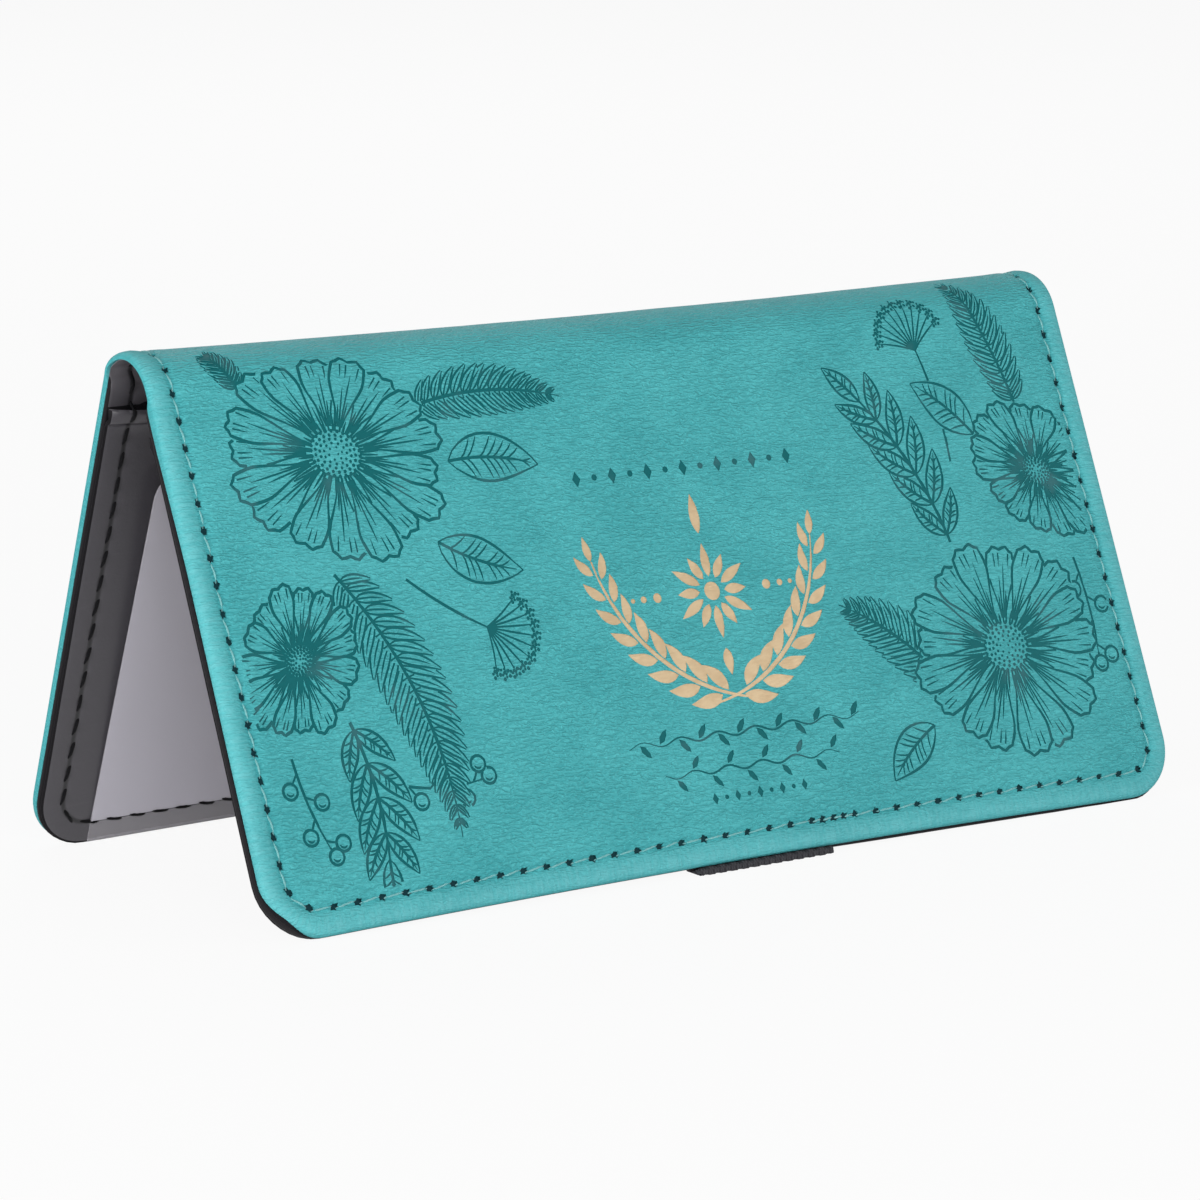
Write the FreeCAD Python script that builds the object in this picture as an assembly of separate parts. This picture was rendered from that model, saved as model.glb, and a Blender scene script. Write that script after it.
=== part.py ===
import FreeCAD, Part
import math
import os
from FreeCAD import Vector

# Checkbook cover, standing open like a tent. Millimetres and degrees.
# X runs along the spine, the front cover looks towards -Y, +Z is up, and the ground is z = 0.
# The origin is on the ground, at the middle of the standing footprint.

# --- Covers -----------------------------------------------------------------------------
COVER_LENGTH = 171.5      # along the spine
PANEL_HEIGHT = 82.0       # crease to free edge of one boarded cover
CORNER_RADIUS = 9.0       # the two free corners of each cover
EDGE_DRAW_IN = 0.8        # how far the free edge is drawn in at mid-length
FRONT_LEAN = 24.0         # front cover from the vertical, standing
BACK_LEAN = 19.0          # back cover from the vertical, standing
EDGE_ROUND = 0.6          # rolled outer edge of the leather

# --- Layers of a cover, from the outside in ---------------------------------------------
LEATHER = 0.8
PADDING = 0.4
BOARD = 1.0
LINING = 0.4
POCKET = 0.4
BOARD_TOP = 3.4           # the board starts this far below the crease
BOARD_CLEARANCE = 0.1     # board and padding to the turned leather edge
RIM_TOP = 2.0             # the turned edge is thin between the crease and here
LINING_INSET = 0.2        # lining edge, back from the leather edge
POCKET_INSET = 0.4        # pocket edge, back from the leather edge
RAMP_TOP = 1.0            # the lining leaves the spine leather here and climbs over the board

# --- Pockets ----------------------------------------------------------------------------
POCKET_TOP = 6.0          # hemmed pocket mouth below the crease
HEM_HEIGHT = 2.4
HEM_THICKNESS = 0.8
HEM_ROUND = 0.3

# --- Spine: one soft strip bent over the top, in two lengths that meet at the ridge ------
SPINE_RADIUS = 8.0        # outer radius of the bend
NECK_GAP = 0.15           # half the gap left at a crease, at the depth of its axis
OPEN_MITRE = 25.0         # relief of a crease on the outside, for opening flat
CLOSE_MITRE = 9.0         # relief of a crease on the inside, for closing
MITRE_REACH = 4.0         # how far the relief cut reaches past a crease

# --- Motion -----------------------------------------------------------------------------
CLOSED_WEDGE = 4.3        # the covers stay this far from parallel, closed over the pen loop
CREASES = 3               # front crease, ridge and back crease share the fold equally
FLAP_FOLLOW = 0.12        # lift of the divider flap for each degree at a crease

# --- Divider flap, clear vinyl sewn into the free edge of the back cover -----------------
FLAP_THICKNESS = 0.3
FLAP_INSET = 9.5          # side edges, in from the ends of the cover
FLAP_TOP = 16.0           # upper edge below the crease
FLAP_CORNER = 5.0
FLAP_CLEARANCE = 0.3      # flap to pocket when the cover is closed
SEAM_GAP = 0.4            # flap and sewn margin, each side of the seam
MARGIN_INSET = 0.6        # sewn margin, back from the free edge of the leather

# --- Pen loop, one elastic band on the free edge of the front cover ----------------------
LOOP_LEFT = -10.0
LOOP_WIDTH = 25.3
LOOP_BAND = 0.8
LOOP_OPEN = 5.8           # clear depth for the pen, at rest
LOOP_HEIGHT = 15.0        # along the cover
LOOP_FOOT = 3.6           # lower bend of the loop above the free edge
LOOP_BEND = 3.0           # outer radius of the loop's two bends
LOOP_SEAT = 0.05          # band to the surface that it is sewn on
LOOP_HOOK = 0.5           # the band ends this far behind the outer face
GROUND_CLEARANCE = 0.02

# --- Edge seam --------------------------------------------------------------------------
STITCH_INSET = 4.0
STITCH_PITCH = 4.1
STITCH_HOLE = 0.9         # length of the needle hole between two stitches
STITCH_WIDTH = 0.6
STITCH_RISE = 0.15
STITCH_START = 2.2        # first and last stitch below the crease
GROOVE_DEPTH = 0.3        # the seam pulls this groove into the leather
GROOVE_WIDTH = 1.6

# --- Modelling --------------------------------------------------------------------------
OVERCUT = 1.0             # cutters run this far past what they cut
TOUCH = 0.01              # coordinates closer than this are the same

# --- Worked out from the above ----------------------------------------------------------
HALF_LENGTH = COVER_LENGTH / 2
SPINE_STACK = LEATHER + LINING
TRAY_DEPTH = LEATHER + PADDING + BOARD
LINING_DEPTH = TRAY_DEPTH + LINING
INNER_DEPTH = LINING_DEPTH + POCKET
EDGE_DROP = PANEL_HEIGHT - EDGE_DRAW_IN
FLAP_SEAM = PANEL_HEIGHT - STITCH_INSET
MARGIN_END = EDGE_DROP - MARGIN_INSET
FRONT = math.radians(FRONT_LEAN)
BACK = math.radians(BACK_LEAN)
CLOSE_PER_CREASE = (FRONT_LEAN + BACK_LEAN - CLOSED_WEDGE) / CREASES
OPEN_PER_CREASE = (180.0 - FRONT_LEAN - BACK_LEAN) / CREASES
FLAP_LIFT = FLAP_FOLLOW * CLOSE_PER_CREASE


def stand_height(lean):
    """Height of a crease above the ground, when the inner rim of its leather stands on it."""
    return PANEL_HEIGHT * math.cos(lean) + TRAY_DEPTH * math.sin(lean)


def foot_reach(lean):
    """How far the rolled free edge stands out beyond its crease."""
    return (PANEL_HEIGHT - EDGE_ROUND) * math.sin(lean) + EDGE_ROUND * (1 - math.cos(lean))


FRONT_Z = stand_height(FRONT)
BACK_Z = stand_height(BACK)
ARCH_Z = FRONT_Z - SPINE_RADIUS * math.sin(FRONT)
BACK_END = math.asin((BACK_Z - ARCH_Z) / SPINE_RADIUS)
FRONT_END = math.pi - FRONT
RIDGE = (FRONT_END + BACK_END) / 2
CREASE_SPAN = SPINE_RADIUS * (math.cos(FRONT) + math.cos(BACK_END))
FRONT_Y = (foot_reach(FRONT) - foot_reach(BACK) - CREASE_SPAN) / 2
ARCH_Y = FRONT_Y + SPINE_RADIUS * math.cos(FRONT)
BACK_Y = FRONT_Y + CREASE_SPAN


def on_arch(angle, radius=SPINE_RADIUS):
    """Point of the spine bend at an angle from +Y."""
    return Vector(0, ARCH_Y + radius * math.cos(angle), ARCH_Z + radius * math.sin(angle))


def crease_frames():
    """Each crease: its outer point and the angle of the direction that leads inwards."""
    inward_back = BACK_END + math.pi
    panel_inward = math.pi + BACK
    return {
        "front": (on_arch(FRONT_END), FRONT_END + math.pi),
        "ridge": (on_arch(RIDGE), RIDGE + math.pi),
        "back": (on_arch(BACK_END), (inward_back + panel_inward) / 2),
    }


def crease_axis(name):
    """Point on a crease's axis, at mid-thickness of leather and lining."""
    point, inward = crease_frames()[name]
    depth = SPINE_STACK / 2
    return point + Vector(0, depth * math.cos(inward), depth * math.sin(inward))


# --- Helpers ----------------------------------------------------------------------------
def prism(points, start, length):
    """Straight prism along X from (y, z) points."""
    corners = [Vector(start, y, z) for y, z in points]
    face = Part.Face(Part.makePolygon(corners + corners[:1]))
    return face.extrude(Vector(length, 0, 0))


def block(x, depth, drop):
    """Box in cover coordinates: (low, high) along X, inwards, and down from the crease."""
    corner = Vector(x[0], depth[0], -drop[1])
    return Part.makeBox(x[1] - x[0], depth[1] - depth[0], drop[1] - drop[0], corner)


def outline(inset, top):
    """Edges of a cover's outline, from its top right round the free edge to its top left."""
    side = HALF_LENGTH - inset
    foot = -(PANEL_HEIGHT - inset)
    radius = CORNER_RADIUS - inset
    flat = side - radius
    bend = radius * (1 - math.sqrt(0.5))
    top_right = Vector(side, 0, -top)
    right = Vector(side, 0, foot + radius)
    foot_right = Vector(flat, 0, foot)
    foot_left = Vector(-flat, 0, foot)
    left = Vector(-side, 0, foot + radius)
    middle = Vector(0, 0, foot + EDGE_DRAW_IN)
    return [
        Part.LineSegment(top_right, right).toShape(),
        Part.Arc(right, Vector(side - bend, 0, foot + bend), foot_right).toShape(),
        Part.Arc(foot_right, middle, foot_left).toShape(),
        Part.Arc(foot_left, Vector(-side + bend, 0, foot + bend), left).toShape(),
        Part.LineSegment(left, Vector(-side, 0, -top)).toShape(),
    ]


def sheet(inset, top, depth, thickness):
    """Flat layer of a cover: rounded free corners, square at the crease."""
    edges = outline(inset, top)
    side = HALF_LENGTH - inset
    edges.append(Part.LineSegment(Vector(-side, 0, -top), Vector(side, 0, -top)).toShape())
    face = Part.Face(Part.Wire(edges))
    face.translate(Vector(0, depth, 0))
    return face.extrude(Vector(0, thickness, 0))


def ring(outer, inner, start, end, side):
    """Length of bent strip between two radii and two angles, out to +side and -side."""
    def rim_point(radius, angle):
        point = on_arch(angle, radius)
        return Vector(-side, point.y, point.z)

    middle = (start + end) / 2
    wire = Part.Wire([
        Part.Arc(rim_point(outer, start), rim_point(outer, middle), rim_point(outer, end)).toShape(),
        Part.LineSegment(rim_point(outer, end), rim_point(inner, end)).toShape(),
        Part.Arc(rim_point(inner, end), rim_point(inner, middle), rim_point(inner, start)).toShape(),
        Part.LineSegment(rim_point(inner, start), rim_point(outer, start)).toShape(),
    ])
    return Part.Face(wire).extrude(Vector(2 * side, 0, 0))


def crease_cutter(name, forward):
    """Removes what lies past a crease, with the relief that lets it open flat and close.

    forward is 1 where the kept piece lies before the crease (towards the front cover).
    """
    point, inward = crease_frames()[name]
    along = inward + math.pi / 2
    axis_depth = SPINE_STACK / 2
    outer_depth = -OVERCUT
    inner_depth = INNER_DEPTH
    outer_relief = NECK_GAP + (axis_depth - outer_depth) * math.tan(math.radians(OPEN_MITRE))
    inner_relief = NECK_GAP + (inner_depth - axis_depth) * math.tan(math.radians(CLOSE_MITRE))
    profile = [
        (-outer_relief, outer_depth),
        (-NECK_GAP, axis_depth),
        (-inner_relief, inner_depth),
        (MITRE_REACH, inner_depth),
        (MITRE_REACH, outer_depth),
    ]
    points = []
    for run, depth in profile:
        run *= forward
        y = point.y + depth * math.cos(inward) + run * math.cos(along)
        z = point.z + depth * math.sin(inward) + run * math.sin(along)
        points.append((y, z))
    return prism(points, -HALF_LENGTH - OVERCUT, COVER_LENGTH + 2 * OVERCUT)


def place_front(shape):
    """Cover coordinates to the standing front cover."""
    placed = shape.copy()
    placed.rotate(Vector(0, 0, 0), Vector(1, 0, 0), -FRONT_LEAN)
    placed.translate(Vector(0, FRONT_Y, FRONT_Z))
    return placed


def place_back(shape):
    """Cover coordinates to the standing back cover."""
    placed = shape.mirror(Vector(0, 0, 0), Vector(0, 1, 0))
    placed.rotate(Vector(0, 0, 0), Vector(1, 0, 0), BACK_LEAN)
    placed.translate(Vector(0, BACK_Y, BACK_Z))
    return placed


# --- Layers of a cover, in cover coordinates: X, inwards (+Y), down from the crease (-Z) --
def leather():
    """Outer leather, turned in round the board on its three free sides."""
    tray = sheet(0, 0, 0, TRAY_DEPTH)
    rolled = [edge for edge in tray.Edges if is_outer_rim(edge)]
    tray = tray.makeFillet(EDGE_ROUND, rolled)
    tray = tray.cut([sheet(LEATHER, -OVERCUT, LEATHER, TRAY_DEPTH), seam_groove()])
    ends = (-HALF_LENGTH - OVERCUT, HALF_LENGTH + OVERCUT)
    return tray.cut(block(ends, (SPINE_STACK, TRAY_DEPTH + OVERCUT), (-OVERCUT, RIM_TOP)))


def seam_groove():
    """What the seam's groove takes out of the outer face."""
    depth = OVERCUT + GROOVE_DEPTH
    outer = sheet(STITCH_INSET - GROOVE_WIDTH / 2, -OVERCUT, -OVERCUT, depth)
    return outer.cut(sheet(STITCH_INSET + GROOVE_WIDTH / 2, -2 * OVERCUT, -OVERCUT, depth))


def is_outer_rim(edge):
    """True for an edge on the outer face that isn't the one along the crease."""
    box = edge.BoundBox
    return box.YMax < TOUCH and box.ZMin < -TOUCH


def padding():
    """Thin foam that the leather is pressed into."""
    return sheet(LEATHER + BOARD_CLEARANCE, BOARD_TOP, LEATHER, PADDING)


def board():
    """Stiffener inside the turned leather."""
    return sheet(LEATHER + BOARD_CLEARANCE, BOARD_TOP, LEATHER + PADDING, BOARD)


def lining():
    """Lining over the board, stepped down to the spine leather just below the crease."""
    panel = sheet(LINING_INSET, BOARD_TOP, TRAY_DEPTH, LINING)
    ramp_foot = BOARD_TOP - LINING / 2
    profile = [
        (LEATHER, 0),
        (LEATHER, -RAMP_TOP),
        (TRAY_DEPTH, -ramp_foot),
        (TRAY_DEPTH, -BOARD_TOP),
        (LINING_DEPTH, -BOARD_TOP),
        (LINING_DEPTH, -ramp_foot + LINING),
        (SPINE_STACK, -RAMP_TOP + LINING / 2),
        (SPINE_STACK, 0),
    ]
    side = HALF_LENGTH - LEATHER - BOARD_CLEARANCE
    return panel.fuse(prism(profile, -side, 2 * side)).removeSplitter()


def pocket():
    """Slip pocket, and the rolled hem along its mouth."""
    panel = sheet(POCKET_INSET, POCKET_TOP + HEM_HEIGHT, LINING_DEPTH, POCKET)
    side = HALF_LENGTH - POCKET_INSET
    hem = block((-side, side), (LINING_DEPTH, LINING_DEPTH + HEM_THICKNESS),
                (POCKET_TOP, POCKET_TOP + HEM_HEIGHT))
    rolled = [edge for edge in hem.Edges if is_hem_roll(edge)]
    return Part.makeCompound([panel, hem.makeFillet(HEM_ROUND, rolled)])


def is_hem_roll(edge):
    """True for the two long edges of the hem that show."""
    box = edge.BoundBox
    return box.YMin > LINING_DEPTH + HEM_THICKNESS - TOUCH and box.XLength > HALF_LENGTH


def stitch(start, end):
    """One stitch lying in the groove between two needle holes."""
    run = end - start
    length = run.Length - STITCH_HOLE
    bar = Part.makeBox(length, STITCH_RISE, STITCH_WIDTH,
                       Vector(-length / 2, GROOVE_DEPTH - STITCH_RISE, -STITCH_WIDTH / 2))
    turn = -math.degrees(math.atan2(run.z, run.x))
    bar.rotate(Vector(0, 0, 0), Vector(0, 1, 0), turn)
    bar.translate((start + end) / 2)
    return bar


def edge_thread():
    """Top thread of the seam that runs round the three free sides of a cover."""
    path = Part.Wire(outline(STITCH_INSET, STITCH_START))
    holes = path.discretize(Number=round(path.Length / STITCH_PITCH) + 1)
    return Part.makeCompound([stitch(a, b) for a, b in zip(holes, holes[1:])])


def pen_loop():
    """Elastic band: a closed loop behind the free edge, hooked under that edge."""
    seat = INNER_DEPTH + LOOP_SEAT
    foot = EDGE_DROP - LOOP_FOOT
    under = EDGE_DROP + LOOP_SEAT + LOOP_BAND
    ends = (LOOP_LEFT, LOOP_LEFT + LOOP_WIDTH)
    outer = block(ends, (seat, seat + 2 * LOOP_BAND + LOOP_OPEN), (foot - LOOP_HEIGHT, foot))
    inner = block(ends, (seat + LOOP_BAND, seat + LOOP_BAND + LOOP_OPEN),
                  (foot - LOOP_HEIGHT + LOOP_BAND, foot - LOOP_BAND))
    outer = outer.makeFillet(LOOP_BEND, inward_bends(outer))
    inner = inner.makeFillet(LOOP_BEND - LOOP_BAND, inward_bends(inner))
    hook = block(ends, (LOOP_HOOK, seat + LOOP_BAND), (EDGE_DROP + LOOP_SEAT, under))
    riser = block(ends, (seat, seat + LOOP_BAND), (foot - LOOP_BAND, under))
    band = place_front(outer.cut(inner).fuse([riser, hook]).removeSplitter())
    ground = Part.makeBox(COVER_LENGTH, COVER_LENGTH, COVER_LENGTH,
                          Vector(-HALF_LENGTH, -HALF_LENGTH, GROUND_CLEARANCE - COVER_LENGTH))
    return band.cut(ground)


def inward_bends(solid):
    """The two edges along X that lie furthest from the cover."""
    reach = solid.BoundBox.YMax - TOUCH
    return [edge for edge in solid.Edges
            if edge.BoundBox.YMin > reach and edge.BoundBox.XLength > TOUCH]


def flap_margin():
    """Sewn margin of the vinyl flap, below its seam."""
    side = HALF_LENGTH - FLAP_INSET
    return block((-side, side), (INNER_DEPTH, INNER_DEPTH + FLAP_THICKNESS),
                 (FLAP_SEAM + SEAM_GAP, MARGIN_END))


def divider_flap():
    """Vinyl leaf above the seam, lifted a little off the pocket by its own spring."""
    side = HALF_LENGTH - FLAP_INSET
    depth = INNER_DEPTH + FLAP_CLEARANCE
    leaf = block((-side, side), (depth, depth + FLAP_THICKNESS), (FLAP_TOP, FLAP_SEAM - SEAM_GAP))
    corners = [edge for edge in leaf.Edges
               if edge.BoundBox.ZMin > -FLAP_TOP - TOUCH and edge.BoundBox.XLength < TOUCH]
    leaf = leaf.makeFillet(FLAP_CORNER, corners)
    leaf.rotate(flap_seam_point(), Vector(1, 0, 0), -FLAP_LIFT)
    return leaf


def flap_seam_point():
    """Seam of the flap in cover coordinates, at mid-thickness."""
    return Vector(0, INNER_DEPTH + FLAP_CLEARANCE + FLAP_THICKNESS / 2, -FLAP_SEAM)


# --- Spine strips -----------------------------------------------------------------------
def spine_leather(start, end):
    """Bent leather, with its two ends turned in over the ends of the lining."""
    strip = ring(SPINE_RADIUS, SPINE_RADIUS - SPINE_STACK, start, end, HALF_LENGTH)
    hollow = ring(SPINE_RADIUS - LEATHER, SPINE_RADIUS - SPINE_STACK - OVERCUT,
                  start, end, HALF_LENGTH - LEATHER)
    return strip.cut([hollow, spine_groove(start, end)])


def spine_groove(start, end):
    """What the seam's groove takes out of the bent leather, near both ends of the strip."""
    seam = HALF_LENGTH - STITCH_INSET
    radii = (SPINE_RADIUS + OVERCUT, SPINE_RADIUS - GROOVE_DEPTH)
    outer = ring(*radii, start, end, seam + GROOVE_WIDTH / 2)
    return outer.cut(ring(*radii, start, end, seam - GROOVE_WIDTH / 2))


def spine_lining(start, end):
    """Bent lining between the turned ends of the spine leather."""
    side = HALF_LENGTH - LEATHER - BOARD_CLEARANCE
    return ring(SPINE_RADIUS - LEATHER, SPINE_RADIUS - SPINE_STACK, start, end, side)


def spine_thread(start, end):
    """Stitches in the groove over the bend, near both ends of the strip."""
    girth = abs(start - end) * SPINE_RADIUS
    count = max(1, round(girth / STITCH_PITCH))
    step = (end - start) / count
    bars = []
    for side in (-1, 1):
        for index in range(count):
            middle = start + (index + 0.5) * step
            length = girth / count - STITCH_HOLE
            bar = Part.makeBox(STITCH_WIDTH, length, STITCH_RISE,
                               Vector(-STITCH_WIDTH / 2, -length / 2, 0))
            bar.rotate(Vector(0, 0, 0), Vector(1, 0, 0), math.degrees(middle) - 90)
            place = on_arch(middle, SPINE_RADIUS - GROOVE_DEPTH)
            bar.translate(Vector(side * (HALF_LENGTH - STITCH_INSET), place.y, place.z))
            bars.append(bar)
    return Part.makeCompound(bars)


def trimmed(shape, *cutters):
    """Shape after its relief cuts."""
    for cutter in cutters:
        shape = shape.cut(cutter)
    return shape


def build():
    """Every node's shape, by name."""
    before_front = crease_cutter("front", 1)
    after_front = crease_cutter("front", -1)
    before_ridge = crease_cutter("ridge", 1)
    after_ridge = crease_cutter("ridge", -1)
    before_back = crease_cutter("back", 1)
    after_back = crease_cutter("back", -1)
    return {
        "front_leather": trimmed(place_front(leather()), before_front),
        "front_padding": place_front(padding()),
        "front_board": place_front(board()),
        "front_lining": trimmed(place_front(lining()), before_front),
        "front_pocket": place_front(pocket()),
        "front_thread": place_front(edge_thread()),
        "pen_loop": pen_loop(),
        "spine_front_leather": trimmed(spine_leather(FRONT_END, RIDGE), after_front, before_ridge),
        "spine_front_lining": trimmed(spine_lining(FRONT_END, RIDGE), after_front, before_ridge),
        "spine_front_thread": spine_thread(FRONT_END, RIDGE),
        "spine_back_leather": trimmed(spine_leather(RIDGE, BACK_END), after_ridge, before_back),
        "spine_back_lining": trimmed(spine_lining(RIDGE, BACK_END), after_ridge, before_back),
        "spine_back_thread": spine_thread(RIDGE, BACK_END),
        "back_leather": trimmed(place_back(leather()), after_back),
        "back_padding": place_back(padding()),
        "back_board": place_back(board()),
        "back_lining": trimmed(place_back(lining()), after_back),
        "back_pocket": place_back(pocket()),
        "back_thread": place_back(edge_thread()),
        "flap_margin": place_back(flap_margin()),
        "divider_flap": place_back(divider_flap()),
    }


os.makedirs("parts", exist_ok=True)
for name, shape in build().items():
    shape.exportStep("parts/" + name + ".step")
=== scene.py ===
"""Looks of a folding checkbook cover that stands open like a tent with its spine on top.

Sheets are cut and stamped flat, in millimetres: x along the spine, s over the cover from the
front's free edge to the back's, and h above the outer face. Then they are bent into place.
"""

import logging
import math
import random
from collections.abc import Callable, Iterable, Sequence
from dataclasses import dataclass, field
from enum import Enum
from functools import cached_property

import bmesh
import bpy
from bmesh.types import BMEdge, BMesh, BMFace, BMVert
from bpy.types import Material, Mesh, Node, NodeSocket, Object, World
from mathutils import Matrix, Vector, noise
from mathutils.geometry import delaunay_2d_cdt


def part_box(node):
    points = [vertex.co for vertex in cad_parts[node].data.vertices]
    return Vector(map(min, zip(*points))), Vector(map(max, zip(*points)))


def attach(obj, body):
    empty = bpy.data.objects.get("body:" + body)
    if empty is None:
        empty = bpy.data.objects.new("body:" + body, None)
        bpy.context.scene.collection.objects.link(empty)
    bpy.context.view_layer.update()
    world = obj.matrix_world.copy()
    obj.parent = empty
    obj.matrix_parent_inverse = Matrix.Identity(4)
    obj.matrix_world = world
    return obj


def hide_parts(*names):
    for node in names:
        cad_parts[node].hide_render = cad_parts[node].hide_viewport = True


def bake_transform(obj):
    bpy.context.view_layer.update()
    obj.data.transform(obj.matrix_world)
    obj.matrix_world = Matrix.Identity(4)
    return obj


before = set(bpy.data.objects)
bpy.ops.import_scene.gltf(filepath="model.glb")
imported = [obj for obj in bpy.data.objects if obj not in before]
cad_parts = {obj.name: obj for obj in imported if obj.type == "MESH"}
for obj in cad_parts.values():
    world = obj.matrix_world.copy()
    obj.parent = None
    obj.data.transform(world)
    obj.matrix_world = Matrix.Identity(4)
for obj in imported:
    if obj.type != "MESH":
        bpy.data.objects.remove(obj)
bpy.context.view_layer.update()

MM = 0.001
IMAGE_PIXELS = 1200
SEAM_INSET = 4.0
SENSOR_MM = 36.0
QUARTER = math.pi / 2
FOLD_RAMP = (0.9, 2.6)
log = logging.getLogger("checkbook_cover")

Colour = tuple[float, float, float]
Materials = dict[str, Material]
Height = Callable[[float, float], float]
Ring = Callable[[float, float], tuple[float, float]]


class Side(Enum):
    """One of the two stiff covers."""

    FRONT = "front"
    BACK = "back"


class Ink(Enum):
    """What is pressed into the outer face, by the material slot that shows it."""

    PLAIN = 0
    STAMP = 1
    FOIL = 2
    HOLE = 3


def smooth(value: float, low: float = 0.0, high: float = 1.0) -> float:
    """Smooth step, from 0 at low to 1 at high."""
    t = min(max((value - low) / (high - low), 0.0), 1.0)
    return t * t * (3 - 2 * t)


def ridge(value: float, centre: float, width: float) -> float:
    """Bell-shaped bump of height 1, sunk to about a third at a width from its centre."""
    return math.exp(-(((value - centre) / width) ** 2))


def spread(start: float, end: float, step: float) -> list[float]:
    """Evenly spaced numbers from start to end, both included, about a step apart."""
    count = max(1, round(abs(end - start) / step))
    return [start + (end - start) * i / count for i in range(count + 1)]


def toward(angle: float) -> Vector:
    """Unit vector at an angle."""
    return Vector((math.cos(angle), math.sin(angle)))


def corner_arc(x: float, y: float, radius: float, angles: Iterable[float], quarter: int) -> list[Vector]:
    """Points round one of a shape's rounded corners.

    Args:
        x: Middle of the rounding.
        y: The same, across.
        radius: Its radius.
        angles: Where the points lie in their quarter turn.
        quarter: Which quarter it is, counted from +x towards +y.

    Returns:
        The points.
    """
    points = []
    for angle in angles:
        out_x, out_y = math.cos(angle), math.sin(angle)
        for _ in range(quarter):
            out_x, out_y = -out_y, out_x
        points.append(Vector((x + radius * out_x, y + radius * out_y)))
    return points


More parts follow.
